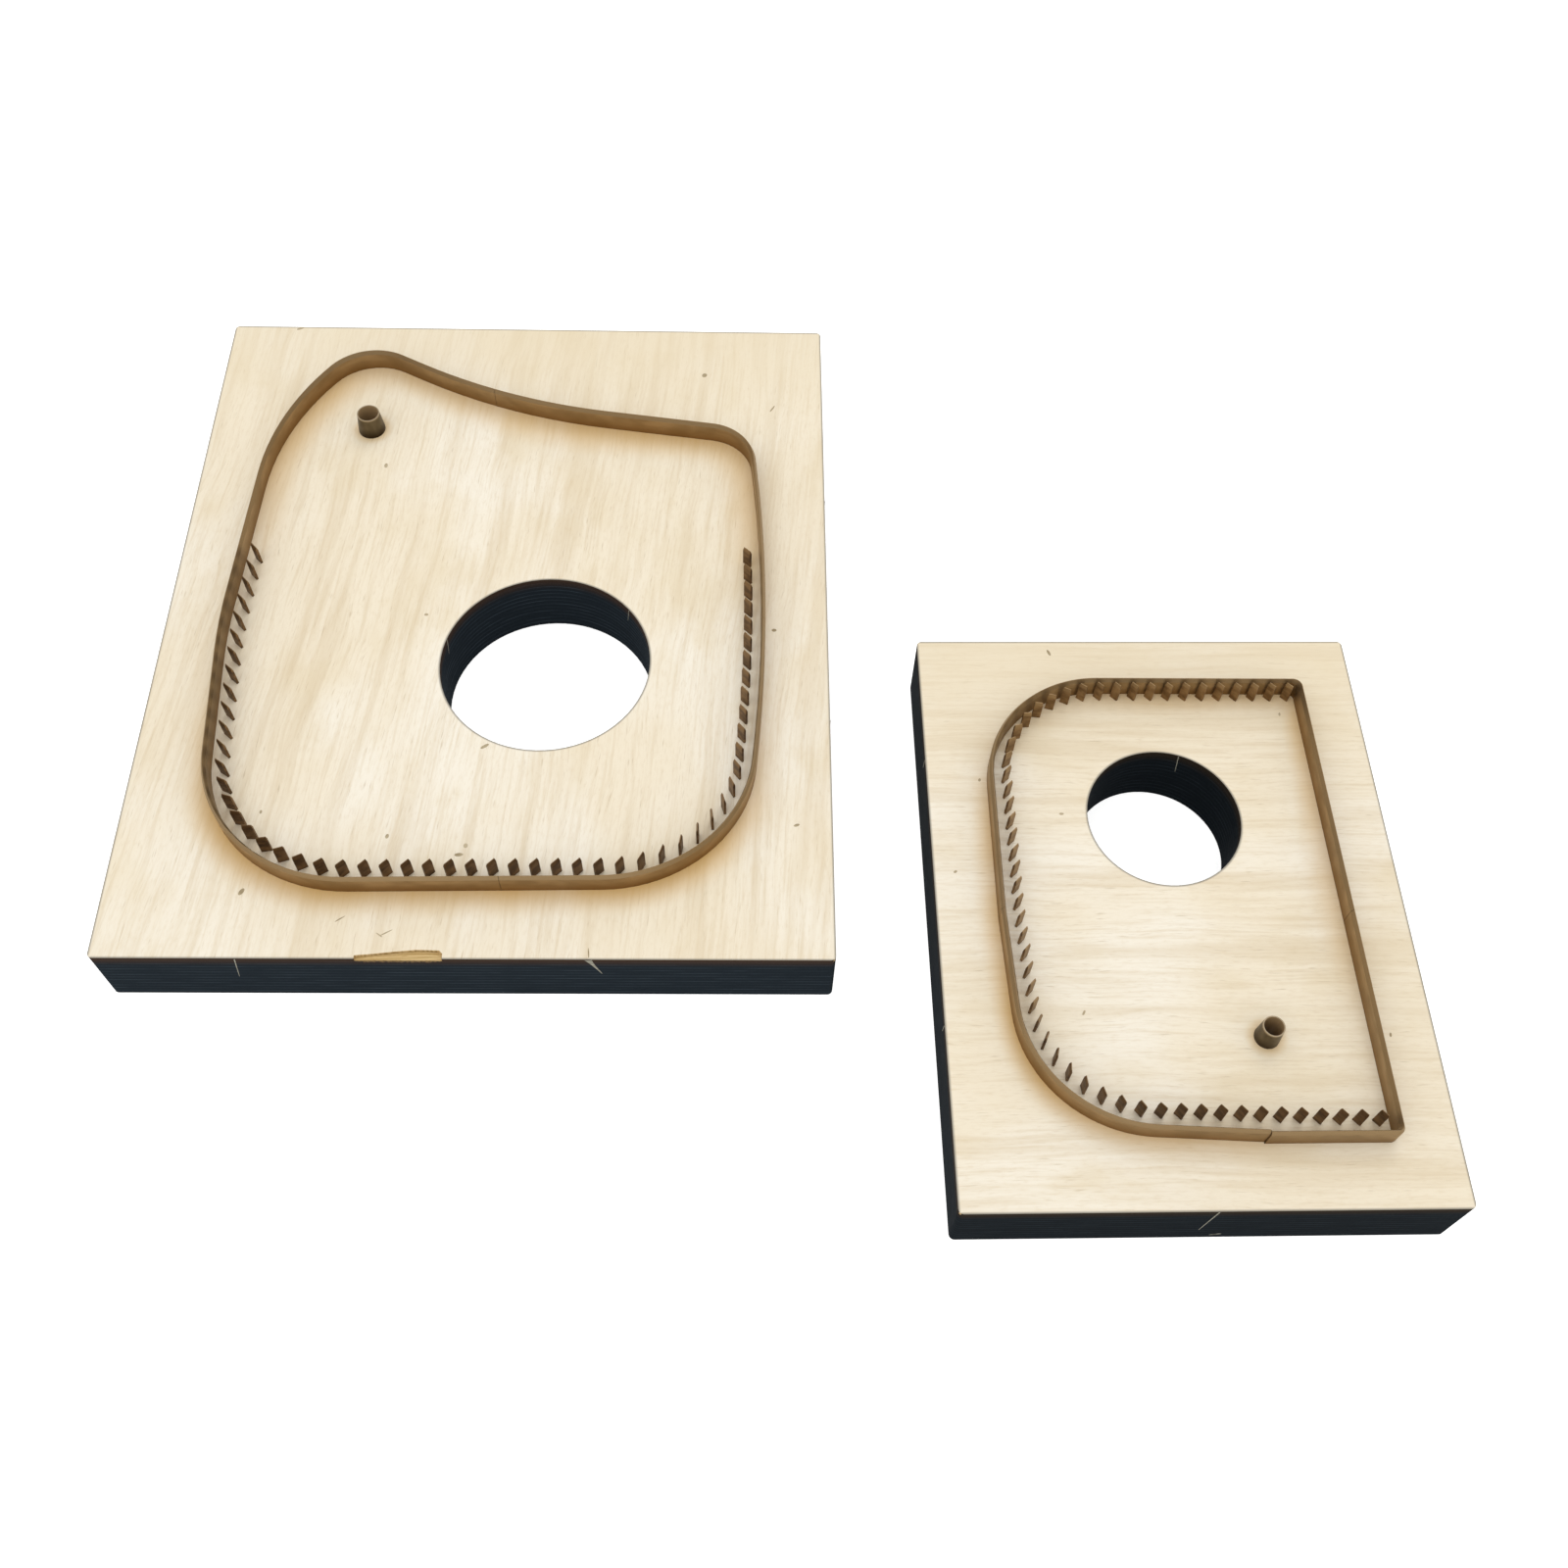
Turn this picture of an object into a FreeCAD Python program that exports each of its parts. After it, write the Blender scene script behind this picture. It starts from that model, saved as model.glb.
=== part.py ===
"""A set of two leather cutting dies: plywood boards with steel cutting rule, stitch teeth and punch tubes.

Both dies lie flat, cutting edges up. Plan positions are measured from the middle of each board,
and every piece is then placed so that the middle of the large push-out hole, on the underside, is the origin.
"""
import FreeCAD, Part
import math
import os

import Sketcher
from FreeCAD import Placement, Rotation, Vector

UP = Vector(0, 0, 1)

# Shortest length that counts, and how far a cut runs past the piece, in millimetres
TOUCH = 1e-6
OVERCUT = 1.0

# Driving dimensions in millimetres and degrees. Names in _right and _back are places on a board,
# measured from its middle. Places of rule are those of its outer face.
SIZES = {
    # Boards
    "board_thickness": 18.0,
    "board_corner_radius": 1.2,
    "large_board_width": 160.0,
    "large_board_depth": 190.0,
    "small_board_width": 104.0,
    "small_board_depth": 140.0,
    "small_board_offset_right": 154.2,
    "small_board_offset_front": 79.5,
    "small_board_turn": 0.6,
    # Cutting rule: steel strip with a bevelled edge, standing on the level of the underside
    "rule_height": 23.8,
    "rule_thickness": 1.05,
    "rule_edge_width": 0.1,
    "rule_bevel_height": 1.1,
    "rule_joint_gap": 0.1,
    "slot_clearance": 0.02,
    # Bridges: short uncut stretches of board under the rule, which is notched to pass over them
    "bridge_length": 6.0,
    "bridge_slot_depth": 2.0,
    "bridge_clearance": 0.25,
    # Stitch teeth
    "large_tooth_width": 2.4,
    "small_tooth_width": 2.0,
    "tooth_thickness": 0.55,
    "tooth_tip_narrowing": 0.3,
    "tooth_tip_thickness": 0.15,
    "tooth_point_height": 1.0,
    "tooth_slant": 45.0,
    # Punch tubes
    "large_tube_diameter": 6.8,
    "large_tube_bore_diameter": 5.2,
    "small_tube_diameter": 5.4,
    "small_tube_bore_diameter": 4.2,
    "tube_rim_width": 0.25,
    "tube_bevel_height": 5.0,
    "tube_clearance": 0.02,
    # Large die: push-out hole and punch
    "large_hole_diameter": 50.0,
    "large_hole_right": 12.1,
    "large_hole_back": -16.9,
    "large_tube_right": -38.3,
    "large_tube_back": 57.6,
    # Large die: corners of the rule's outer face, each with the radius of its bend
    "lower_left_right": -60.5,
    "lower_left_back": -79.3,
    "lower_left_radius": 36.0,
    "lower_right_right": 59.7,
    "lower_right_back": -77.7,
    "lower_right_radius": 34.5,
    "side_bow_right": 66.8,
    "side_bow_back": -4.3,
    "side_bow_radius": 450.0,
    "upper_right_right": 61.3,
    "upper_right_back": 54.4,
    "upper_right_radius": 13.0,
    "saddle_right": -2.3,
    "saddle_back": 63.4,
    "saddle_radius": 148.0,
    "crown_right": -42.9,
    "crown_back": 85.2,
    "crown_radius": 14.8,
    "shoulder_right": -63.0,
    "shoulder_back": 57.9,
    "shoulder_radius": 69.0,
    "flank_right": -65.8,
    "flank_back": -9.5,
    "flank_radius": 149.0,
    # Large die: where the three lengths of rule meet
    "top_joint_right": 4.0,
    "side_joint_back": -7.4,
    "bottom_joint_right": 7.0,
    # Large die: row of teeth, from the left side round the bottom to the right side
    "large_row_inset": 3.65,
    "large_row_left_end": 14.2,
    "large_side_pitch": 5.2,
    "large_corner_pitch": 4.8,
    "large_bottom_pitch": 4.65,
    # Large die: veneer chip torn out of the front edge
    "chip_left": -23.4,
    "chip_length": 18.8,
    "chip_reach": 2.2,
    "chip_depth": 0.9,
    # Small die: push-out hole and punch
    "small_hole_diameter": 35.0,
    "small_hole_right": 1.6,
    "small_hole_back": 20.6,
    "small_tube_right": 15.9,
    "small_tube_back": -33.0,
    # Small die: bends and joints of the rule's outer face, from the right side over the back to the front
    "right_joint_right": 38.7,
    "right_joint_back": -6.0,
    "back_corner_right": 38.2,
    "back_corner_back": 55.4,
    "back_corner_radius": 2.5,
    "upper_left_right": -38.0,
    "upper_left_back": 55.9,
    "upper_left_radius": 27.3,
    "left_joint_right": -38.5,
    "left_joint_back": -5.0,
    "front_left_right": -36.5,
    "front_left_back": -53.1,
    "front_left_radius": 28.6,
    "front_joint_right": 11.5,
    "front_joint_back": -55.8,
    "front_corner_right": 39.1,
    "front_corner_back": -56.15,
    "front_corner_radius": 1.8,
    # Small die: row of teeth, from the back right corner round the left side to the front right corner
    "small_row_inset": 3.7,
    "small_row_back_inset": 1.7,
    "small_row_upper_radius": 23.8,
    "small_row_joint_radius": 150.0,
    "small_row_end_gap": 2.8,
    "small_row_pitch": 4.08,
}

# Teeth of each group, in the order in which the row runs: name, number and pitch
LARGE_TEETH = (
    ("left", 12, "large_side_pitch"),
    ("lower_left", 10, "large_corner_pitch"),
    ("bottom", 12, "large_bottom_pitch"),
    ("lower_right", 9, "large_corner_pitch"),
    ("right", 12, "large_side_pitch"),
)
SMALL_TEETH = (
    ("top", 10, "small_row_pitch"),
    ("upper_left", 10, "small_row_pitch"),
    ("left", 15, "small_row_pitch"),
    ("lower_left", 10, "small_row_pitch"),
    ("bottom", 10, "small_row_pitch"),
)

# Number of bridges under each length of rule
BRIDGES = (
    ("large_rule_right_lower", 2),
    ("large_rule_right_upper", 2),
    ("large_rule_left", 4),
    ("small_rule_upper", 3),
    ("small_rule_lower", 2),
    ("small_rule_right", 2),
)


def left_of(direction):
    """The direction turned a quarter turn to the left, seen from above."""
    return Vector(-direction.y, direction.x, 0)


class Run:
    """A straight stretch of a path."""

    def __init__(self, start, end):
        self.start = start
        self.end = end
        self.length = (end - start).Length

    def place(self, distance):
        """Point and direction at a distance from the start."""
        direction = (self.end - self.start).multiply(1 / self.length)
        return self.start + direction * distance, direction

    def nearest(self, point):
        """Distance along the stretch of its point nearest to a given one."""
        direction = self.place(0)[1]
        return min(max((point - self.start).dot(direction), 0), self.length)

    def piece(self, begin, finish):
        """The part between two distances."""
        return Run(self.place(begin)[0], self.place(finish)[0])

    def turned(self):
        """The same stretch run the other way."""
        return Run(self.end, self.start)

    def moved(self, side):
        """The stretch moved to the left by a distance."""
        normal = left_of(self.place(0)[1])
        return Run(self.start + normal * side, self.end + normal * side)

    def edge(self):
        """The stretch as an edge."""
        return Part.LineSegment(self.start, self.end).toShape()


class Bend:
    """A round stretch of a path; its sweep is positive counter-clockwise, in radians."""

    def __init__(self, centre, radius, angle, sweep):
        self.centre = centre
        self.radius = radius
        self.angle = angle
        self.sweep = sweep
        self.hand = math.copysign(1, sweep)
        self.length = radius * abs(sweep)

    def place(self, distance):
        """Point and direction at a distance from the start."""
        angle = self.angle + self.hand * distance / self.radius
        spoke = Vector(math.cos(angle), math.sin(angle), 0)
        return self.centre + spoke * self.radius, left_of(spoke) * self.hand

    def nearest(self, point):
        """Distance along the stretch of its point nearest to a given one."""
        spoke = point - self.centre
        turn = (math.atan2(spoke.y, spoke.x) - self.angle) * self.hand % (2 * math.pi)
        beyond = turn - abs(self.sweep)
        if beyond <= 0:
            return turn * self.radius
        return self.length if beyond < 2 * math.pi - turn else 0

    def piece(self, begin, finish):
        """The part between two distances."""
        return Bend(
            self.centre,
            self.radius,
            self.angle + self.hand * begin / self.radius,
            self.hand * (finish - begin) / self.radius,
        )

    def turned(self):
        """The same stretch run the other way."""
        return Bend(self.centre, self.radius, self.angle + self.sweep, -self.sweep)

    def moved(self, side):
        """The stretch moved to the left by a distance."""
        return Bend(self.centre, self.radius - self.hand * side, self.angle, self.sweep)

    def edge(self):
        """The stretch as an edge."""
        points = [self.place(self.length * share)[0] for share in (0, 0.5, 1)]
        return Part.Arc(*points).toShape()


class Path:
    """Straight and round stretches that follow each other without a corner."""

    def __init__(self, stretches):
        self.stretches = stretches
        self.length = sum(stretch.length for stretch in stretches)

    def place(self, distance):
        """Point and direction at a distance from the start."""
        for stretch in self.stretches[:-1]:
            if distance <= stretch.length:
                return stretch.place(distance)
            distance -= stretch.length
        return self.stretches[-1].place(distance)

    def nearest(self, point):
        """Distance along the path of its point nearest to a given one."""
        best, passed = None, 0
        for stretch in self.stretches:
            distance = stretch.nearest(point)
            gap = (stretch.place(distance)[0] - point).Length
            if best is None or gap < best[0]:
                best = gap, passed + distance
            passed += stretch.length
        return best[1]

    def between(self, begin, finish):
        """The part between two distances."""
        pieces, passed = [], 0
        for stretch in self.stretches:
            first = max(begin - passed, 0)
            last = min(finish - passed, stretch.length)
            if last - first > TOUCH:
                pieces.append(stretch.piece(first, last))
            passed += stretch.length
        return Path(pieces)

    def from_point(self, begin):
        """The whole of a closed path, begun at another distance."""
        return Path(self.between(begin, self.length).stretches + self.between(0, begin).stretches)

    def moved(self, side):
        """The path moved to the left by a distance."""
        return Path([stretch.moved(side) for stretch in self.stretches])

    def wire(self):
        """The path as a wire."""
        return Part.Wire([stretch.edge() for stretch in self.stretches])

    def turned(self):
        """The same path run the other way."""
        return Path([stretch.turned() for stretch in reversed(self.stretches)])

    def band(self, width, overrun):
        """A flat face of the given width along the path, which runs past both ends."""
        right = self.moved(-width / 2)
        left = self.moved(width / 2).turned()
        stretches = right.stretches + end_cap(right, width, overrun)
        stretches += left.stretches + end_cap(left, width, overrun)
        return Part.Face(Path(stretches).wire())


def end_cap(side, width, overrun):
    """Three straight stretches from the end of one side of a band, round its tip, to the other side."""
    point, direction = side.place(side.length)
    tip = point + direction * overrun
    across = left_of(direction) * width
    rim = [point, tip, tip + across, point + across]
    return [Run(rim[i], rim[i + 1]) for i in range(3)]


def rounded_path(corners, closed):
    """Straight runs between corners, each given as a point and a radius, joined by tangent arcs."""
    points = [corner[0] for corner in corners]
    count = len(points)
    wanted = []
    for i, (point, radius) in enumerate(corners):
        turning = radius > 0 and (closed or 0 < i < count - 1)
        back = points[i - 1] - point
        ahead = points[(i + 1) % count] - point
        setback = radius / math.tan(back.getAngle(ahead) / 2) if turning else 0
        wanted.append(setback)
    setbacks = []
    for i in range(count):
        room = 1.0
        for other in (i - 1, (i + 1) % count):
            run = (points[other] - points[i]).Length
            asked = wanted[i] + wanted[other]
            room = min(room, run / asked if asked > run else 1.0)
        setbacks.append(wanted[i] * room)
    stretches = []
    for i in range(count if closed else count - 1):
        here, following = points[i], points[(i + 1) % count]
        ahead = (following - here).normalize()
        start = here + ahead * setbacks[i]
        end = following - ahead * setbacks[(i + 1) % count]
        if (end - start).dot(ahead) > TOUCH:
            stretches.append(Run(start, end))
        if not setbacks[(i + 1) % count]:
            continue
        onward = (points[(i + 2) % count] - following).normalize()
        turn = math.atan2(ahead.cross(onward).z, ahead.dot(onward))
        radius = setbacks[(i + 1) % count] / math.tan(abs(turn) / 2)
        normal = left_of(ahead) * math.copysign(radius, turn)
        spoke = normal * -1
        stretches.append(Bend(end + normal, radius, math.atan2(spoke.y, spoke.x), turn))
    return Path(stretches)


class Die:
    """One of the two dies, with what the sheet says of it."""

    def __init__(self, name, size):
        self.name = name
        self.size = size
        self.rules = {}
        self.row = None
        self.row_hand = 1
        self.groups = ()


def large_die(size):
    """The large die: three lengths of rule on one closed outline."""
    die = Die("large", size)
    names = ("lower_left", "lower_right", "side_bow", "upper_right", "saddle", "crown", "shoulder", "flank")
    corners = [(Vector(size(n + "_right"), size(n + "_back"), 0), size(n + "_radius")) for n in names]
    middle = rounded_path(corners, closed=True).moved(size("rule_thickness") / 2)
    half_width = size("large_board_width") / 2
    half_depth = size("large_board_depth") / 2
    bottom = middle.nearest(Vector(size("bottom_joint_right"), -half_depth, 0))
    loop = middle.from_point(bottom)
    side = loop.nearest(Vector(half_width, size("side_joint_back"), 0))
    top = loop.nearest(Vector(size("top_joint_right"), half_depth, 0))
    gap = size("rule_joint_gap") / 2
    die.rules = {
        "large_rule_right_lower": loop.between(gap, side - gap),
        "large_rule_right_upper": loop.between(side + gap, top - gap),
        "large_rule_left": loop.between(top + gap, loop.length - gap),
    }
    row = loop.moved(size("large_row_inset"))
    begin = row.nearest(Vector(-half_width, size("large_row_left_end"), 0))
    die.row = row.from_point(begin)
    die.groups = LARGE_TEETH
    return die


def small_die(size):
    """The small die: three lengths of rule, joined on the left, at the front and on the right."""
    die = Die("small", size)
    half = size("rule_thickness") / 2
    gap = size("rule_joint_gap") / 2

    def place(name):
        """A named place on the board."""
        return Vector(size(name + "_right"), size(name + "_back"), 0)

    def bent_length(start, bends, end):
        """The middle of a length of rule that runs between two joints round the named bends."""
        corners = [(place(name), size(name + "_radius")) for name in bends]
        path = rounded_path([(start, 0)] + corners + [(end, 0)], closed=False).moved(half)
        return path.between(gap, path.length - gap)

    back, front = place("back_corner"), place("front_corner")
    upper_left, front_left = place("upper_left"), place("front_left")
    joint, right_joint, front_joint = place("left_joint"), place("right_joint"), place("front_joint")
    die.rules = {
        "small_rule_upper": bent_length(right_joint, ("back_corner", "upper_left"), joint),
        "small_rule_lower": bent_length(joint, ("front_left",), front_joint),
        "small_rule_right": bent_length(Vector(front_joint.x, front.y, 0), ("front_corner",), right_joint),
    }
    side_inset = half + size("small_row_inset")
    back_inset = half + size("small_row_back_inset")
    end_inset = half + size("small_row_end_gap")
    side_radius = size("front_left_radius") - side_inset
    die.row = rounded_path(
        [
            (back - Vector(end_inset, back_inset, 0), 0),
            (upper_left + Vector(side_inset, -back_inset, 0), size("small_row_upper_radius")),
            (joint + Vector(side_inset, 0, 0), size("small_row_joint_radius")),
            (front_left + Vector(side_inset, side_inset, 0), side_radius),
            (front + Vector(-end_inset, side_inset, 0), 0),
        ],
        closed=False,
    )
    die.row_hand = -1
    die.groups = SMALL_TEETH
    return die


def set_place(item, die):
    """Moves a finished piece from the board's own middle to its place in the set."""
    item.Placement = Placement()
    if die.name == "large":
        item.setExpression("Placement.Base.x", "-Sizes.large_hole_right")
        item.setExpression("Placement.Base.y", "-Sizes.large_hole_back")
        return
    item.Placement = Placement(Vector(), Rotation(UP, die.size("small_board_turn")))
    item.setExpression("Placement.Base.x", "Sizes.small_board_offset_right - Sizes.large_hole_right")
    item.setExpression("Placement.Base.y", "-Sizes.small_board_offset_front - Sizes.large_hole_back")


def add_sheet(doc):
    """The spreadsheet of driving dimensions."""
    sheet = doc.addObject("Spreadsheet::Sheet", "Sizes")
    for row, (alias, value) in enumerate(SIZES.items(), start=1):
        sheet.set(f"A{row}", alias.replace("_", " "))
        sheet.set(f"B{row}", str(value))
        sheet.setAlias(f"B{row}", alias)
    doc.recompute()
    return sheet


def add_sketch(body, name, height_alias=None):
    """A sketch on the body's own ground plane, or at a height above it."""
    ground = next(f for f in body.Origin.OriginFeatures if f.Role == "XY_Plane")
    sketch = body.newObject("Sketcher::SketchObject", name)
    sketch.AttachmentSupport = [(ground, "")]
    sketch.MapMode = "FlatFace"
    if height_alias:
        sketch.setExpression("AttachmentOffset.Base.z", f"Sizes.{height_alias}")
    return sketch


def add_size(sketch, constraint, alias):
    """A constraint whose value comes from the sheet."""
    index = sketch.addConstraint(constraint)
    sketch.setExpression(f"Constraints[{index}]", alias)


def draw_rectangle(sketch, width, depth, width_alias, depth_alias):
    """A rectangle about the sketch's origin."""
    left, front = -width / 2, -depth / 2
    corners = [Vector(left, front), Vector(-left, front), Vector(-left, -front), Vector(left, -front)]
    for i in range(4):
        sketch.addGeometry(Part.LineSegment(corners[i], corners[(i + 1) % 4]))
    for i in range(4):
        sketch.addConstraint(Sketcher.Constraint("Coincident", i, 2, (i + 1) % 4, 1))
        sketch.addConstraint(Sketcher.Constraint("Vertical" if i % 2 else "Horizontal", i))
    sketch.addConstraint(Sketcher.Constraint("Symmetric", 0, 1, 2, 1, -1, 1))
    add_size(sketch, Sketcher.Constraint("DistanceX", 0, 1, 0, 2, width), width_alias)
    add_size(sketch, Sketcher.Constraint("DistanceY", 1, 1, 1, 2, depth), depth_alias)


def draw_circle(sketch, die, place, diameter, diameter_expression):
    """A circle at a named place on the board."""
    right, back = f"{die.name}_{place}_right", f"{die.name}_{place}_back"
    centre = Vector(die.size(right), die.size(back), 0)
    index = sketch.addGeometry(Part.Circle(centre, UP, diameter / 2))
    add_size(sketch, Sketcher.Constraint("DistanceX", -1, 1, index, 3, centre.x), f"Sizes.{right}")
    add_size(sketch, Sketcher.Constraint("DistanceY", -1, 1, index, 3, centre.y), f"Sizes.{back}")
    add_size(sketch, Sketcher.Constraint("Diameter", index, diameter), diameter_expression)


def edge_names(shape, wanted):
    """Names of the edges that a test picks."""
    return [f"Edge{i}" for i, edge in enumerate(shape.Edges, start=1) if wanted(edge)]


def add_blank(doc, die):
    """The board before its slots are cut: rounded corners, push-out hole and tube bore."""
    size, name = die.size, die.name
    body = doc.addObject("PartDesign::Body", f"{name}_blank")
    outline = add_sketch(body, f"{name}_blank_outline")
    width, depth = f"{name}_board_width", f"{name}_board_depth"
    draw_rectangle(outline, size(width), size(depth), f"Sizes.{width}", f"Sizes.{depth}")
    pad = body.newObject("PartDesign::Pad", f"{name}_blank_pad")
    pad.Profile = outline
    pad.setExpression("Length", "Sizes.board_thickness")
    doc.recompute()
    corners = body.newObject("PartDesign::Fillet", f"{name}_blank_corners")
    upright = edge_names(pad.Shape, lambda edge: abs(edge.tangentAt(edge.FirstParameter).z) > 0.99)
    corners.Base = (pad, upright)
    corners.setExpression("Radius", "Sizes.board_corner_radius")
    holes = add_sketch(body, f"{name}_holes", "board_thickness")
    hole = f"{name}_hole_diameter"
    draw_circle(holes, die, "hole", size(hole), f"Sizes.{hole}")
    tube = f"{name}_tube_diameter"
    bore = size(tube) + 2 * size("tube_clearance")
    draw_circle(holes, die, "tube", bore, f"Sizes.{tube} + 2 * Sizes.tube_clearance")
    pocket = body.newObject("PartDesign::Pocket", f"{name}_holes_cut")
    pocket.Profile = holes
    pocket.Type = "ThroughAll"
    doc.recompute()
    return body


def bridge_places(die, name):
    """Points and directions of the bridges under a length of rule, spread evenly along it."""
    path, count = die.rules[name], dict(BRIDGES)[name]
    return [path.place(path.length * (i + 0.5) / count) for i in range(count)]


def box_on_path(place, length, width, bottom, top):
    """A box lengthways on a path, from one height to another."""
    point, direction = place
    box = Part.makeBox(length, width, top - bottom, Vector(-length / 2, -width / 2, bottom))
    turn = math.degrees(math.atan2(direction.y, direction.x))
    box.Placement = Placement(point, Rotation(UP, turn))
    return box


def tooth_places(die):
    """For each group of teeth, the point and turn in degrees of every tooth, in order."""
    groups = {}
    distance = 0
    slant = die.row_hand * die.size("tooth_slant")
    for name, count, pitch in die.groups:
        groups[name] = []
        for _ in range(count):
            point, direction = die.row.place(distance)
            groups[name].append((point, math.degrees(math.atan2(direction.y, direction.x)) + slant))
            distance += die.size(pitch)
    return groups


def slot_tools(die):
    """Everything that the laser cuts out of the board for rule and teeth."""
    size = die.size
    top = size("board_thickness")
    width = size("rule_thickness") + 2 * size("slot_clearance")
    bands = []
    for path in die.rules.values():
        band = path.band(width, size("rule_joint_gap") + size("slot_clearance"))
        bands.append(band.extrude(UP * top))
    slots = bands[0].multiFuse(bands[1:])
    bridges = []
    for name in die.rules:
        for place in bridge_places(die, name):
            under = top - size("bridge_slot_depth")
            bridges.append(box_on_path(place, size("bridge_length"), width + 2 * OVERCUT, 0, under))
    tools = slots.cut(Part.makeCompound(bridges)).removeSplitter().Solids
    play = 2 * size("slot_clearance")
    length, breadth = size(f"{die.name}_tooth_width") + play, size("tooth_thickness") + play
    for point, turn in sum(tooth_places(die).values(), []):
        slot = Part.makeBox(length, breadth, top, Vector(-length / 2, -breadth / 2, 0))
        slot.Placement = Placement(point, Rotation(UP, turn))
        tools.append(slot)
    return tools


def chip_tool(size):
    """The torn piece of face veneer at the front edge of the large board."""
    left, length, reach = size("chip_left"), size("chip_length"), size("chip_reach")
    front = -size("large_board_depth") / 2
    floor = size("board_thickness") - size("chip_depth")
    shares = ((0, -0.2), (1, -0.2), (1, 0.6), (0.96, 0.95), (0.7, 1), (0.45, 0.8), (0.2, 0.55), (0, 0.4))
    rim = [Vector(left + x * length, front + y * reach, floor) for x, y in shares]
    face = Part.Face(Part.makePolygon(rim + rim[:1]))
    return face.extrude(UP * (size("chip_depth") + OVERCUT))


def add_board(doc, die):
    """The board: the blank less its slots, and less the chip on the large one."""
    blank = add_blank(doc, die)
    cutter = doc.addObject("Part::Feature", f"{die.name}_slots")
    tools = slot_tools(die)
    if die.name == "large":
        tools.append(chip_tool(die.size))
    cutter.Shape = Part.makeCompound(tools)
    board = doc.addObject("Part::Cut", f"{die.name}_board")
    board.Base = blank
    board.Tool = cutter
    set_place(board, die)
    return board


def add_rule(doc, die, name):
    """One length of rule: the bevelled section swept along its path, notched over the bridges."""
    size, path = die.size, die.rules[name]
    spine = doc.addObject("Part::Feature", f"{name}_path")
    spine.Shape = path.wire()
    section = doc.addObject("Sketcher::SketchObject", f"{name}_section")
    draw_section(section, size)
    start, direction = path.place(0)
    section.Placement = Placement(start, Rotation(left_of(direction) * -1, UP, direction * -1, "ZXY"))
    strip = doc.addObject("Part::Sweep", f"{name}_strip")
    strip.Sections = [section]
    strip.Spine = (spine, [f"Edge{i + 1}" for i in range(len(spine.Shape.Edges))])
    strip.Solid = True
    strip.Frenet = True
    notches = doc.addObject("Part::Feature", f"{name}_notches")
    length = size("bridge_length") + 2 * size("bridge_clearance")
    height = size("board_thickness") - size("bridge_slot_depth") + size("bridge_clearance")
    width = size("rule_thickness") + 2 * OVERCUT
    boxes = [box_on_path(place, length, width, -OVERCUT, height) for place in bridge_places(die, name)]
    notches.Shape = Part.makeCompound(boxes)
    rule = doc.addObject("Part::Cut", name)
    rule.Base = strip
    rule.Tool = notches
    set_place(rule, die)
    return rule


def draw_section(sketch, size):
    """The rule's section: a strip on edge, bevelled on both sides to a narrow cutting edge."""
    half, tip = size("rule_thickness") / 2, size("rule_edge_width") / 2
    height = size("rule_height")
    shoulder = height - size("rule_bevel_height")
    corners = [(-half, 0), (half, 0), (half, shoulder), (tip, height), (-tip, height), (-half, shoulder)]
    points = [Vector(x, y, 0) for x, y in corners]
    count = len(points)
    for i in range(count):
        sketch.addGeometry(Part.LineSegment(points[i], points[(i + 1) % count]))
    for i in range(count):
        sketch.addConstraint(Sketcher.Constraint("Coincident", i, 2, (i + 1) % count, 1))
    sketch.addConstraint(Sketcher.Constraint("Horizontal", 0))
    for i in (1, 5):
        sketch.addConstraint(Sketcher.Constraint("Vertical", i))
    sketch.addConstraint(Sketcher.Constraint("Symmetric", 0, 1, 0, 2, -1, 1))
    sketch.addConstraint(Sketcher.Constraint("Symmetric", 3, 1, 3, 2, -2))
    add_size(sketch, Sketcher.Constraint("DistanceX", 0, 1, 0, 2, 2 * half), "Sizes.rule_thickness")
    add_size(sketch, Sketcher.Constraint("DistanceX", 3, 2, 3, 1, 2 * tip), "Sizes.rule_edge_width")
    bevel = size("rule_bevel_height")
    add_size(sketch, Sketcher.Constraint("DistanceY", 1, 2, 2, 2, bevel), "Sizes.rule_bevel_height")
    add_size(sketch, Sketcher.Constraint("DistanceY", 0, 2, 2, 2, height), "Sizes.rule_height")
    straight = "Sizes.rule_height - Sizes.rule_bevel_height"
    add_size(sketch, Sketcher.Constraint("DistanceY", 5, 2, 5, 1, shoulder), straight)


def make_tooth(die):
    """One flat tooth, upright, pointed on all four sides."""
    size = die.size
    width, thick = size(f"{die.name}_tooth_width"), size("tooth_thickness")
    tip_width, tip_thick = width - size("tooth_tip_narrowing"), size("tooth_tip_thickness")
    shoulder = size("rule_height") - size("tooth_point_height")
    shank = Part.makeBox(width, thick, shoulder, Vector(-width / 2, -thick / 2, 0))
    outlines = []
    for across, along, height in ((width, thick, shoulder), (tip_width, tip_thick, size("rule_height"))):
        x, y = across / 2, along / 2
        rim = [Vector(-x, -y, height), Vector(x, -y, height), Vector(x, y, height), Vector(-x, y, height)]
        outlines.append(Part.makePolygon(rim + rim[:1]))
    return shank.fuse(Part.makeLoft(outlines, True, True)).removeSplitter()


def add_teeth(doc, die):
    """The row of teeth, one object for each side or corner of the outline."""
    tooth = make_tooth(die)
    groups = []
    for name, places in tooth_places(die).items():
        blades = []
        for point, turn in places:
            blade = tooth.copy()
            blade.Placement = Placement(point, Rotation(UP, turn))
            blades.append(blade.Solids[0])
        group = doc.addObject("Part::Feature", f"{die.name}_teeth_{name}")
        group.Shape = Part.makeCompound(blades)
        set_place(group, die)
        groups.append(group)
    return groups


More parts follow.
